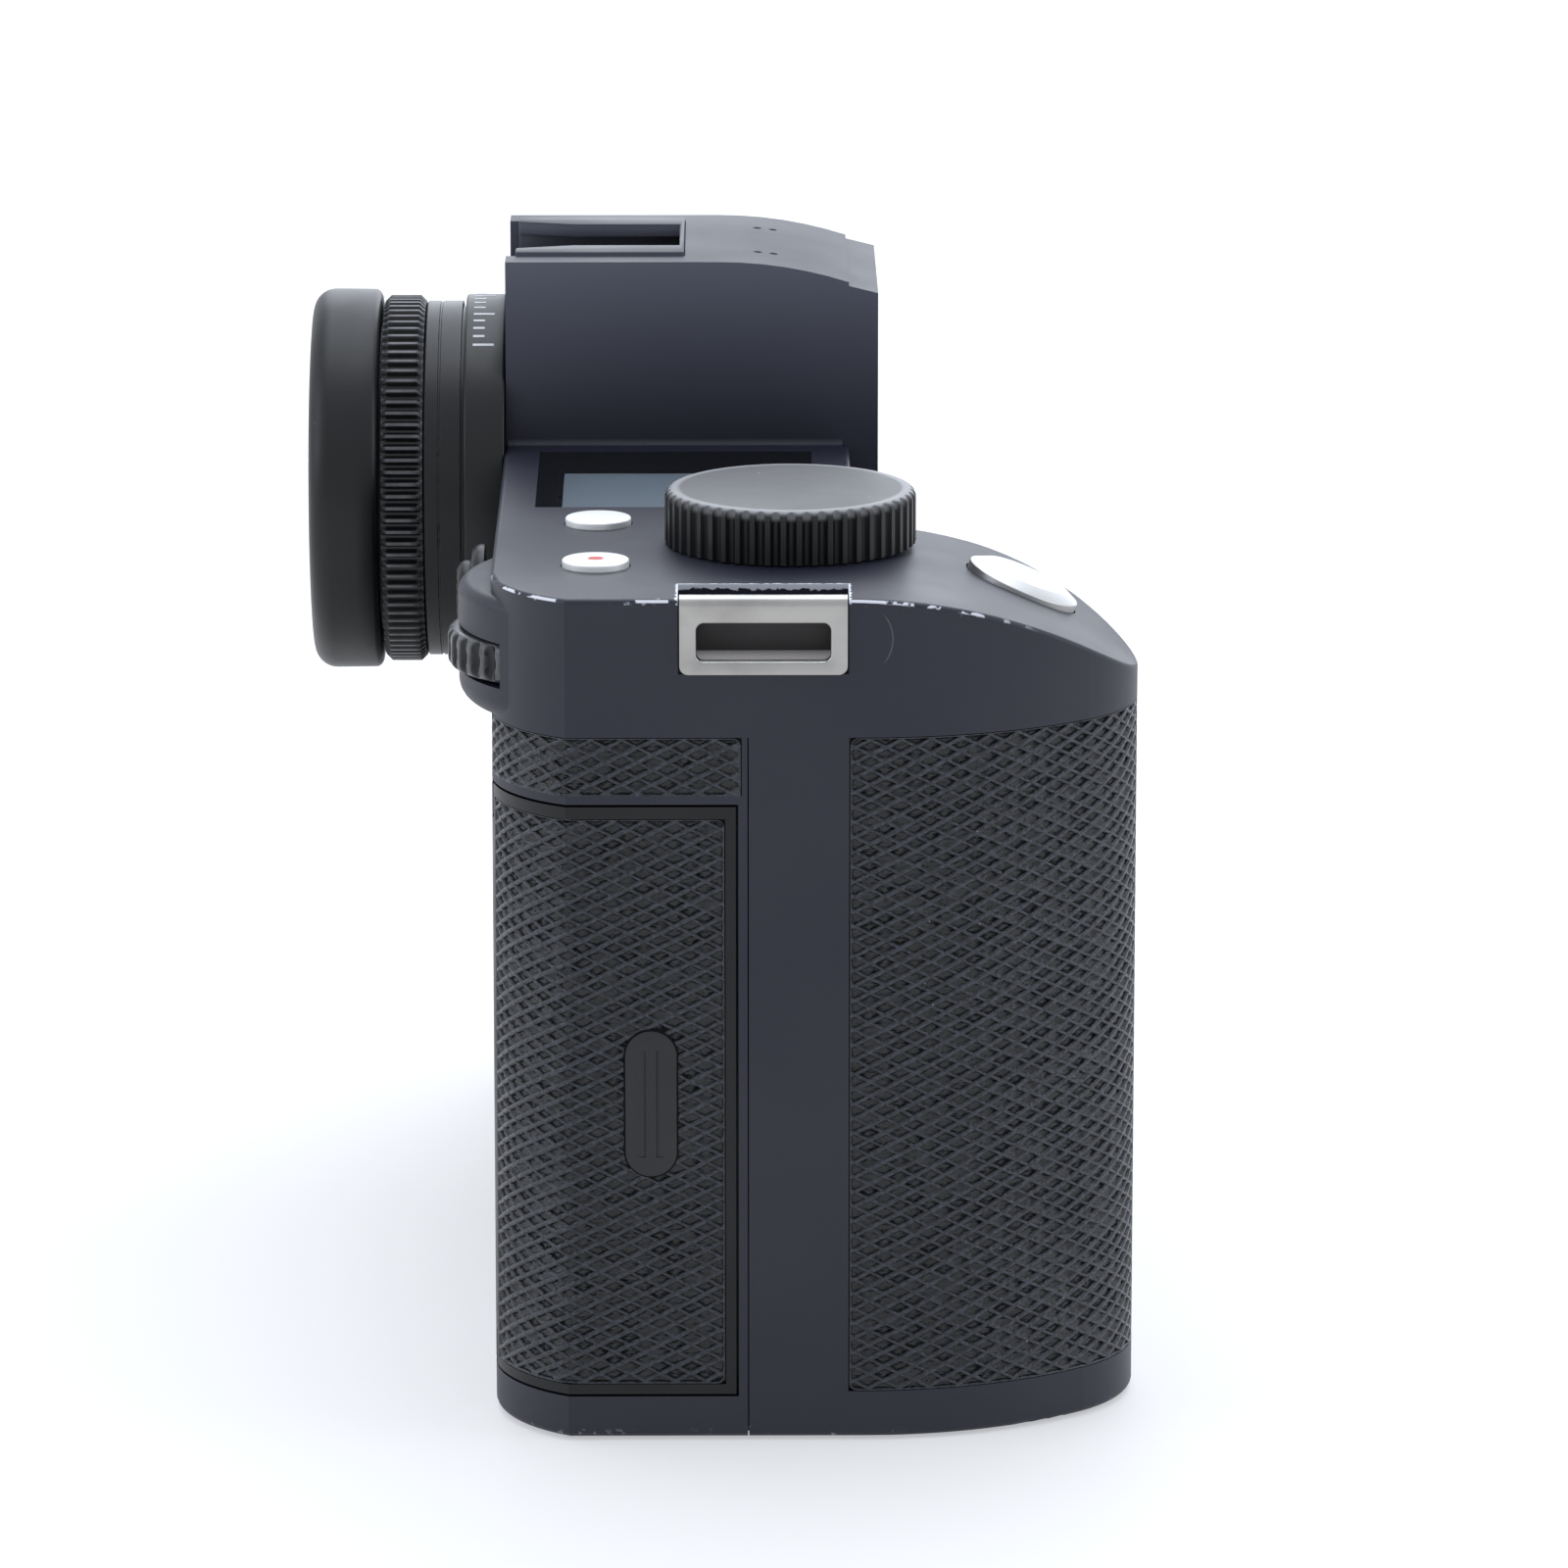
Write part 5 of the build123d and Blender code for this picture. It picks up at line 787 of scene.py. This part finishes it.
turned_silver = finish("turned_silver", (0.49, 0.485, 0.48), (0.40, 0.50, 120.0), SATIN, Metallic=0.9)[0]
SHUTTER_AT, SHUTTER_LEAN, SHUTTER_R, DISH_R = (-66.8, -34.0, 81.07), 23.04, 5.75, 4.25
bm = bmesh.new()
stem = [(0, -5.2), (2.0, -5.2), (2.0, -0.5), (SHUTTER_R, -0.5)]
dish = [(DISH_R * i / 8, 0.85 + 0.3 * (i / 8) ** 2) for i in range(8, -1, -1)]
turned(bm, [*stem, (SHUTTER_R, 0.38), (SHUTTER_R - 0.06, 0.45), (DISH_R + 0.05, 1.14), *dish], steps=120)
bmesh.ops.rotate(bm, matrix=Matrix.Rotation(math.radians(SHUTTER_LEAN), 3, "X"), verts=bm.verts)
shift(bm, SHUTTER_AT)
shutter_cap = piece(bm, "shutter_button_cap", "shutter_button", turned_silver, sharp=20)
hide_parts("shutter_button")


# Foot of the finder hump. A small hollow rounding runs along each flank where it meets the top
# plate, and catches a thin line of light.
HUMP_HALF, PLATE_Z, FOOT_R, FOOT_Y = 14.2, 84.6, 0.65, (-16.9, 18.0)
for side, sign in (("grip_side", -1), ("far_side", 1)):
    bm = bmesh.new()
    outer, top = HUMP_HALF + FOOT_R, PLATE_Z + FOOT_R
    hollow = [(outer - reach, z) for reach, z in arc((0, top), FOOT_R, -90, 0, 8)]
    hollow += [(HUMP_HALF - 0.1, top), (HUMP_HALF - 0.1, PLATE_Z - 0.1), (outer, PLATE_Z - 0.1)]
    swept(bm, [(sign * x, FOOT_Y[0], z) for x, z in hollow], (0, FOOT_Y[1] - FOOT_Y[0], 0))
    piece(bm, "hump_foot_" + side, "camera_body", body_coat, sharp=30)


# Top display. A pane of clear glass lies flush in the top cover. Below it are a black mask and a
# reflective grey-blue panel that shows nothing while the camera is off.
clear_glass = finish(
    "clear_glass", (0.95, 0.97, 0.98), (0.012, 0.028, 50.0), Transmission_Weight=1.0, IOR=1.5
)[0]
black_mask = finish("black_mask", (0.018, 0.0205, 0.025), (0.25, 0.35, 80.0))[0]
grey_panel, tree, shader = finish("grey_panel", (0.26, 0.32, 0.39), (0.3, 0.42, 60.0))
bumped(shader, noise(tree, 12000.0, 1.0), 0.000002)
dress(clear_glass, "top_display_glass")
dress(black_mask, "top_display_panel", "evf_display")
bm = bmesh.new()
slab(bm, (-45.1, -27.8), (-12.4, 11.9), (83.4, 83.62))
soften(bm, 0.08)
piece(bm, "top_display_reflector", "camera_body", grey_panel)


# Thumb wheel. A turned black wheel lies level in its round housing behind the top cover. Its
# thirty-six ribs are worn smooth and bright, the hollows between them are painted near-black as
# shade, and a small steel bracket holds its axle.
WHEEL_AT, WHEEL_R, WHEEL_LOW, WHEEL_HIGH = (-72.5, 10.65), 12.0, 74.55, 78.45
WHEEL_RIBS, WHEEL_ROUND = 36, 0.9

worn_black_shaded_hollows, tree, shader = finish("worn_black_shaded_hollows", (0.02, 0.02, 0.021), (0.26, 0.38, 150.0))
depth = tree.nodes.new("ShaderNodeAttribute")
depth.attribute_name = "hollow"
# Painted shade: the deeper a vertex was pressed, the darker it is coloured; the crests are lighter where
# worn.
crest = ranged(depth.outputs["Fac"], 0.25, 0.0)
worn_crests_shaded_hollows = calc("MULTIPLY", crest, ranged(noise(tree, 500.0, 5.0), 0.3, 0.6, 0.55, 1.0))
feed(shader.inputs["Base Color"], tinted(worn_crests_shaded_hollows, (0.003, 0.003, 0.0035), (0.075, 0.076, 0.08)))


def mark_depth(bm, pressed):
    """Keeps how deep each vertex was pressed, for the finish to read."""
    layer = bm.verts.layers.float.new("hollow")
    bm.verts.ensure_lookup_table()
    for index, share in pressed.items():
        bm.verts[index][layer] = share


bm = bmesh.new()
lower = arc((WHEEL_R - WHEEL_ROUND, WHEEL_LOW + WHEEL_ROUND), WHEEL_ROUND, -90, 0, 6)
upper = arc((WHEEL_R - WHEEL_ROUND, WHEEL_HIGH - WHEEL_ROUND), WHEEL_ROUND, 0, 90, 6)
straight = [(WHEEL_R, WHEEL_LOW + WHEEL_ROUND + 2.1 * i / 7) for i in range(1, 7)]
wall = turned(bm, [(1.5, WHEEL_LOW), *lower, *straight, *upper, (1.5, WHEEL_HIGH)], steps=WHEEL_RIBS * 12)
pressed = fluted(bm, wall, WHEEL_RIBS, 0.68, 0.85, WHEEL_R, barrel=((WHEEL_LOW + WHEEL_HIGH) / 2, 2.6))
mark_depth(bm, pressed)
shift(bm, (*WHEEL_AT, 0))
wheel = piece(bm, "ribbed_thumb_wheel", "thumb_wheel", worn_black_shaded_hollows, sharp=40)
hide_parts("thumb_wheel")
dress(brushed_steel, "thumb_wheel_bracket", "joystick_gimbal", "sensor_plate")
dress(black_anodised, "card_door_carrier")


# Joystick. A ribbed rubber cap stands in a round hole of the rear face on a ball that nods and
# sways. Only its edge shows from the grip end.
RUBBER = (0.0030, 0.0034, 0.0042)
soft_rubber, tree, shader = finish(
    "soft_rubber", RUBBER, (0.36, 0.46, 90.0), (3500.0, 0.00001), Specular_IOR_Level=0.38
)
specks = placed(tree, dusty, Scale=700.0, Size=0.06, Share=0.08)
feed(shader.inputs["Base Color"], tinted(specks, RUBBER, (0.2, 0.2, 0.21)))
dress(soft_rubber, "port_door")
STICK_AT = (-49.5, 22.4, 76.4)
bm = bmesh.new()
skirt = arc((3.9, -2.6), 1.2, -10, 62, 6)
crown = arc((2.6, -1.0), 0.9, -20, 90, 7)
stem = [(0, -8.9), (1.6, -8.9), (1.6, -3.4), (2.2, -3.0), (4.8, -2.9)]
turned(bm, [*stem, *skirt, (3.55, -1.45), *crown, (0, -0.2)], steps=64)
aimed(bm, "rear", STICK_AT)
cap = piece(bm, "joystick_cap", "joystick", soft_rubber, sharp=50)
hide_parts("joystick")
bm = bmesh.new()
for ring_r in (0.9, 1.7, 2.5):
    studs = round(ring_r * 5)
    for step in range(studs):
        angle = math.tau * step / studs
        stud = turned(bm, [(0.32, -0.4), (0.30, -0.1), (0.16, -0.01), (0, 0)], steps=10)
        shift(bm, (ring_r * math.cos(angle), ring_r * math.sin(angle), 0), stud)
aimed(bm, "rear", STICK_AT)
piece(bm, "joystick_studs", "joystick", soft_rubber, sharp=60)


# Hot shoe. It is milled from the same painted alloy as the top cover, with two lips that flare
# apart at the rear. Its floor is painted near-black as shade inside the channel, and five gilt
# contact pins stand in it.
SHOE_HALF_W, SHOE_Y, SHOE_STOP = 10.45, (-0.4, 17.2), 0.5
SHOE_FLOOR, SHOE_LIP, SHOE_TOP = 100.95, 103.0, 104.4
CHANNEL_HALF, THROAT_HALF, MOUTH_HALF, FLARE = 9.35, 6.3, 7.95, 6.0

bm = bmesh.new()
front, stop, end = SHOE_Y[0], SHOE_Y[0] + SHOE_STOP, SHOE_Y[1]
outline = [
    (-SHOE_HALF_W, front), (SHOE_HALF_W, front), (SHOE_HALF_W, end), (MOUTH_HALF, end),
    (THROAT_HALF, end - FLARE), (THROAT_HALF, stop), (-THROAT_HALF, stop),
    (-THROAT_HALF, end - FLARE), (-MOUTH_HALF, end), (-SHOE_HALF_W, end),
]
lips = bm.faces.new([bm.verts.new((x, y, SHOE_LIP)) for x, y in outline])
thicken(bm, [lips], SHOE_TOP - SHOE_LIP)
slab(bm, (-SHOE_HALF_W, -CHANNEL_HALF), SHOE_Y, (SHOE_FLOOR, SHOE_LIP))
slab(bm, (CHANNEL_HALF, SHOE_HALF_W), SHOE_Y, (SHOE_FLOOR, SHOE_LIP))
slab(bm, (-CHANNEL_HALF, CHANNEL_HALF), (front, stop), (SHOE_FLOOR, SHOE_LIP))
soften(bm, 0.14)
shoe = piece(bm, "hot_shoe_rails", "camera_body", body_coat)
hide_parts("hot_shoe")
bm = bmesh.new()
# Painted shade: the floor is near-black for the shade inside the channel.
slab(bm, (-SHOE_HALF_W, SHOE_HALF_W), SHOE_Y, (100.15, SHOE_FLOOR))
soften(bm, 0.1)
piece(bm, "hot_shoe_floor", "camera_body", painted_shade_black)
gilt = finish("gilt_contact", (0.85, 0.60, 0.25), (0.22, 0.36, 300.0), Metallic=1.0)[0]
bm = bmesh.new()
for x, y, r in ((0, 8.6, 1.1), (-3.3, 5.2, 0.7), (3.3, 5.2, 0.7), (-3.3, 2.8, 0.7), (3.3, 2.8, 0.7)):
    pin = turned(bm, [(r, -0.1), (r, 0.12), (r - 0.15, 0.22), (0, 0.25)], steps=24)
    shift(bm, (x, y, SHOE_FLOOR), pin)
piece(bm, "hot_shoe_contacts", "camera_body", gilt)


# Eyepiece. A black anodised barrel with a white scale on its collar carries the finder lens, a
# knurled ring that sets the diopter, and a deep rubber cup clipped over its end.
EYE_Z, COLLAR_R, NECK_R, RING_R, RING_RIDGES = 78.3, 19.45, 18.75, 19.35, 96
CUP_R, CUP_FRONT, CUP_REAR, BORE_R = 20.05, 31.55, 38.75, 16.25

bm = bmesh.new()
groove = [(NECK_R, 25.05), (NECK_R - 0.12, 25.12), (NECK_R - 0.12, 25.28), (NECK_R, 25.35)]
profile = [
    (10.0, 6.0), (11.5, 6.0), (11.5, REAR_Y), (COLLAR_R - 0.3, REAR_Y),
    *arc((COLLAR_R - 0.3, REAR_Y + 0.3), 0.3, -60, 0, 3), *arc((COLLAR_R - 0.3, 22.3), 0.3, 0, 90, 4),
    (NECK_R - 0.6, 22.6), (NECK_R - 0.6, 22.95), (NECK_R, 23.0),
    *groove, (NECK_R, 26.6), (NECK_R - 0.1, 26.7), (16.2, 26.7), (16.2, 36.15), (14.0, 36.15),
    (13.2, 35.5), (13.2, 27.7), (10.0, 27.7), (10.0, 6.0),
]
turned(bm, profile, steps=160)
aimed(bm, "rear", (0, 0, EYE_Z))
barrel = piece(bm, "eyepiece_barrel_shell", "camera_body", black_anodised, sharp=30)
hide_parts("eyepiece_barrel")

white_paint = finish("white_paint", (0.60, 0.61, 0.62), (0.45, 0.6, 300.0))[0]
bm = bmesh.new()
LONG_TICKS, SHORT_TICKS = (57.0, 73.4, 91.8), (61.0, 65.1, 69.25, 78.3, 82.8, 87.2, 96.0, 100.0)
TICKS_END, TICK_SPAN = 21.7, (-0.17, 0.17)
for angles, length in ((LONG_TICKS, 2.2), (SHORT_TICKS, 1.2)):
    for angle in angles:
        tick = slab(bm, (COLLAR_R - 0.1, COLLAR_R + 0.02), (TICKS_END - length, TICKS_END), TICK_SPAN)
        round_collar = Matrix.Rotation(math.radians(180 + angle), 3, "Y")
        bmesh.ops.rotate(bm, cent=(0, 0, 0), matrix=round_collar, verts=tick)
shift(bm, (0, 0, EYE_Z))
piece(bm, "diopter_scale", "camera_body", white_paint)

bm = bmesh.new()
side = [(RING_R, 27.5 + 3.1 * i / 4) for i in range(5)]
front_rim = [(BORE_R, 26.85), (RING_R - 0.75, 26.85), (RING_R - 0.6, 26.9), (RING_R - 0.12, 27.38)]
rear_rim = [(RING_R - 0.12, 30.72), (RING_R - 0.6, 31.2), (RING_R - 0.75, 31.25), (BORE_R, 31.25)]
wall = turned(bm, [*front_rim, *side, *rear_rim, (BORE_R, 26.85)], steps=RING_RIDGES * 8)
mark_depth(bm, fluted(bm, wall, RING_RIDGES, 0.66, 0.7, RING_R))
aimed(bm, "rear", (0, 0, EYE_Z))
# The ring's hollows are painted darker as shade by the same finish as the thumb wheel's.
ring = piece(bm, "knurled_diopter_ring", "diopter_ring", worn_black_shaded_hollows, sharp=50)
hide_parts("diopter_ring")

bm = bmesh.new()
front_lip = arc((CUP_R - 0.9, CUP_FRONT + 0.9), 0.9, -90, -20, 4)
rear_lip = arc((CUP_R - 2.3, CUP_REAR - 2.3), 2.3, 0, 90, 10)
profile = [
    (BORE_R, CUP_FRONT), *front_lip, (CUP_R - 0.02, CUP_FRONT + 2.4), *rear_lip, (17.5, CUP_REAR - 0.01),
    *arc((17.0, CUP_REAR - 0.5), 0.5, 80, 140, 3), (13.4, 36.25), (13.4, 36.15), (BORE_R, 36.15),
    (BORE_R, CUP_FRONT),
]
turned(bm, profile, steps=160)
aimed(bm, "rear", (0, 0, EYE_Z))
cup = piece(bm, "rubber_eyecup", "camera_body", soft_rubber, sharp=60)
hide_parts("eyecup")


# Lens mount. A turned ring of bright steel with four bayonet tabs is held by four countersunk
# cross-recessed screws. Inside it lie a black block of gilt contacts, the lock pin and, beside
# it, the button that draws the pin.
bright_steel = finish(
    "bright_steel", (0.70, 0.70, 0.69), (0.16, 0.28, 90.0), (8000.0, 0.000002), Metallic=1.0
)[0]
dress(bright_steel, "lens_mount_ring", "lens_lock_pin")

SLOT_W, SLOT_SHARE, SHANK, TOP_ROUND = 0.32, 0.62, 1.2, 0.12


def cross_screw(bm, radius, thick):
    """Flat screw head with a cross recess, lying level with its top at zero; returns its vertices."""
    before = set(bm.verts)
    foot = -thick - SHANK
    turned(bm, [(0, foot), (radius * 0.5, foot), (radius * 0.5, -thick), (radius, -thick)], steps=32)
    turned(bm, [(radius, -thick), (radius, -TOP_ROUND), (radius - TOP_ROUND, 0)], steps=32)
    bmesh.ops.remove_doubles(bm, verts=[v for v in bm.verts if v not in before], dist=1e-4)

    def on_top(part):
        return all(abs(v.co.z) < 1e-5 and v not in before for v in part.verts)

    bmesh.ops.contextual_create(bm, geom=[e for e in bm.edges if e.is_boundary and on_top(e)])
    reach = SLOT_SHARE * radius
    for direction in (Vector((1, 0, 0)), Vector((0, 1, 0))):
        for offset in (SLOT_W / 2, reach, -SLOT_W / 2, -reach):
            flat = [f for f in bm.faces if f.normal.z > 0.99 and on_top(f)]
            near = list({e for f in flat for e in f.edges} | {v for f in flat for v in f.verts}) + flat
            place = direction * offset
            bmesh.ops.bisect_plane(bm, geom=near, dist=1e-5, plane_co=place, plane_no=direction)
    arms = []
    for f in bm.faces:
        x, y = (abs(value) for value in f.calc_center_median().xy)
        if f.normal.z > 0.99 and on_top(f) and min(x, y) < SLOT_W / 2 and max(x, y) < reach:
            arms.append(f)
    shift(bm, (0, 0, -thick * 0.7), verts_of(bmesh.ops.extrude_face_region(bm, geom=arms)))
    bmesh.ops.delete(bm, geom=[f for f in arms if f.is_valid], context="FACES")
    return [v for v in bm.verts if v not in before]


MOUNT_Z, SCREWS_R, SCREWS_Y = 43.0, 30.1, -21.25
bm = bmesh.new()
for index in range(4):
    angle = math.radians(45 + 90 * index)
    head_at = (SCREWS_R * math.cos(angle), SCREWS_Y, MOUNT_Z + SCREWS_R * math.sin(angle))
    aimed(bm, "front", head_at, verts=cross_screw(bm, 1.1, 0.9))
screws = piece(bm, "mount_ring_screws", "camera_body", bright_steel, sharp=30)
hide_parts("mount_screws")

# The pins stand 0.2 mm out of the front of their block and are gilt, the block is black.
BLOCK, GILT = (0.006, 0.006, 0.007), (0.80, 0.58, 0.26)
contact_block, tree, shader = finish("contact_block", BLOCK, (0.25, 0.4, 120.0))
pin_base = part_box("mount_contacts")[0][1] + 0.2 * MM
pins = ranged(axes(tree)["Y"], pin_base + 0.03 * MM, pin_base - 0.03 * MM)
feed(shader.inputs["Base Color"], tinted(pins, BLOCK, GILT))
feed(shader.inputs["Metallic"], pins)
dress(contact_block, "mount_contacts")

bm = bmesh.new()
profile = [(0, -1.5), (5.3, -1.5), (5.3, 0.0), (4.4, 0.02), (4.4, 2.0), *arc((4.1, 2.0), 0.3, 0, 90, 4)]
turned(bm, [*profile, (3.2, 2.3), (3.0, 2.15), (0, 2.0)], steps=72)
aimed(bm, "front", (RELEASE_X, -16.65, RELEASE_Z))
unlock = piece(bm, "lens_release_cap", "lens_release_button", satin_silver, sharp=30)
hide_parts("lens_release_button")


# Inside. The cast chassis, the ribbed light baffle, the shutter with its blades, the sensor
# behind its filter glass, and the board are seen through the lens mount or the open body.
cast_alloy = finish(
    "cast_alloy", (0.10, 0.10, 0.105), (0.42, 0.6, 90.0), (2500.0, 0.00002), Metallic=0.6
)[0]
dress(cast_alloy, "inner_chassis")
sensor_stripes, tree, shader = finish("sensor_face", (0.03, 0.05, 0.06), (0.12, 0.2, 60.0))
fringe = ranged(noise(tree, 35.0, 2.0), 0.35, 0.65)
feed(shader.inputs["Base Color"], tinted(fringe, (0.05, 0.03, 0.07), (0.02, 0.07, 0.06)))
dress(sensor_stripes, "image_sensor")
dress(clear_glass, "sensor_glass")
dress(finish("ceramic", (0.11, 0.09, 0.075), (0.5, 0.65, 90.0))[0], "sensor_package")
board_green, tree, shader = finish("board_lacquer", (0.015, 0.06, 0.035), (0.25, 0.4, 90.0))
tracks = ranged(noise(tree, 420.0, 1.0, stretch=(1, 1, 0.2)), 0.49, 0.51)
feed(shader.inputs["Base Color"], tinted(tracks, (0.012, 0.05, 0.03), (0.02, 0.09, 0.05)))
dress(board_green, "main_board")
blade_black = finish("blade_black", (0.02, 0.02, 0.021), (0.35, 0.45, 120.0), Metallic=0.3)[0]
dress(blade_black, "shutter_leaf_1", "shutter_leaf_2")


# Rear. A screen under dark glass fills the middle, with two long unmarked keys of satin plastic on
# each side, and a round button and the power lever above it. The finder's lens has the same dark
# glass.
screen_glass = finish("screen_glass", (0.004, 0.0045, 0.0055), (0.07, 0.12, 25.0))[0]
dress(screen_glass, "rear_screen_glass", "eyepiece_lens")
dress(black_mask, "rear_screen_panel")
satin_black = finish("satin_black", (0.007, 0.0072, 0.008), (0.34, 0.46, 90.0), (6000.0, 0.000006))[0]
KEY_W, KEY_H, KEY_PROUD, KEY_T, FLANGE_W, FLANGE_H, FLANGE_Z = 5.4, 19.0, 0.6, 3.3, 6.8, 20.4, -2.7
for name, x, z in (
    ("grip_side_lower", -46.3, 20.5), ("grip_side_upper", -46.3, 44.5),
    ("far_side_lower", 36.3, 20.5), ("far_side_upper", 36.3, 44.5),
):
    bm = bmesh.new()
    oblong(bm, KEY_W, KEY_H, KEY_W / 2 - 0.01, steps=10, cap=True)
    thicken(bm, bm.faces[:], -KEY_T)
    shift(bm, (0, 0, KEY_PROUD))
    soften(bm, 0.3, segments=3)
    flange = oblong(bm, FLANGE_W, FLANGE_H, FLANGE_W / 2 - 0.01, steps=10, cap=True)
    shift(bm, (0, 0, FLANGE_Z), flange)
    aimed(bm, "rear", (x, REAR_Y, z))
    key = piece(bm, name + "_key", name + "_button", satin_black)
    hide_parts(name + "_button")
dress(satin_black, "finder_button")
dress(black_anodised, "power_lever")


# Base. The painted base plate carries a threaded steel tripod socket, cross-recessed screws, the
# battery with its own cap, and the lever that lets it drop.
THREAD_CREST, THREAD_ROOT, THREAD_PITCH, SOCKET_DEPTH = 3.18, 3.5, 0.5, 5.4
bm = bmesh.new()
threads = []
for turn_index in range(10):
    z = -0.35 - THREAD_PITCH * turn_index
    threads += [(THREAD_CREST, z), (THREAD_ROOT, z - THREAD_PITCH / 2)]
bottom = [(3.2, -SOCKET_DEPTH), (0, -SOCKET_DEPTH), (0, -6.2), (5.2, -6.2), (5.2, -1.5), (8.0, -1.5)]
turned(bm, [(3.4, 0.0), *threads, *bottom, (8.0, -0.1), (7.9, 0.0), (3.4, 0.0)], steps=72)
aimed(bm, "base", (0, 0, 0))
socket = piece(bm, "threaded_tripod_socket", "camera_body", brushed_steel, sharp=25)
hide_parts("tripod_socket")
bm = bmesh.new()
for x, y in ((-84.5, 6.5), (-41, -12), (36, 13), (49, -9)):
    aimed(bm, "base", (x, y, 0.1), verts=cross_screw(bm, 1.7, 0.8))
plate_screws = piece(bm, "base_plate_screws", "camera_body", black_anodised, sharp=30)
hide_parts("base_screws")
dress(finish("battery_case", (0.03, 0.03, 0.033), (0.4, 0.55, 90.0), (4000.0, 0.00001))[0], "battery")
dress(satin_silver, "battery_catch")
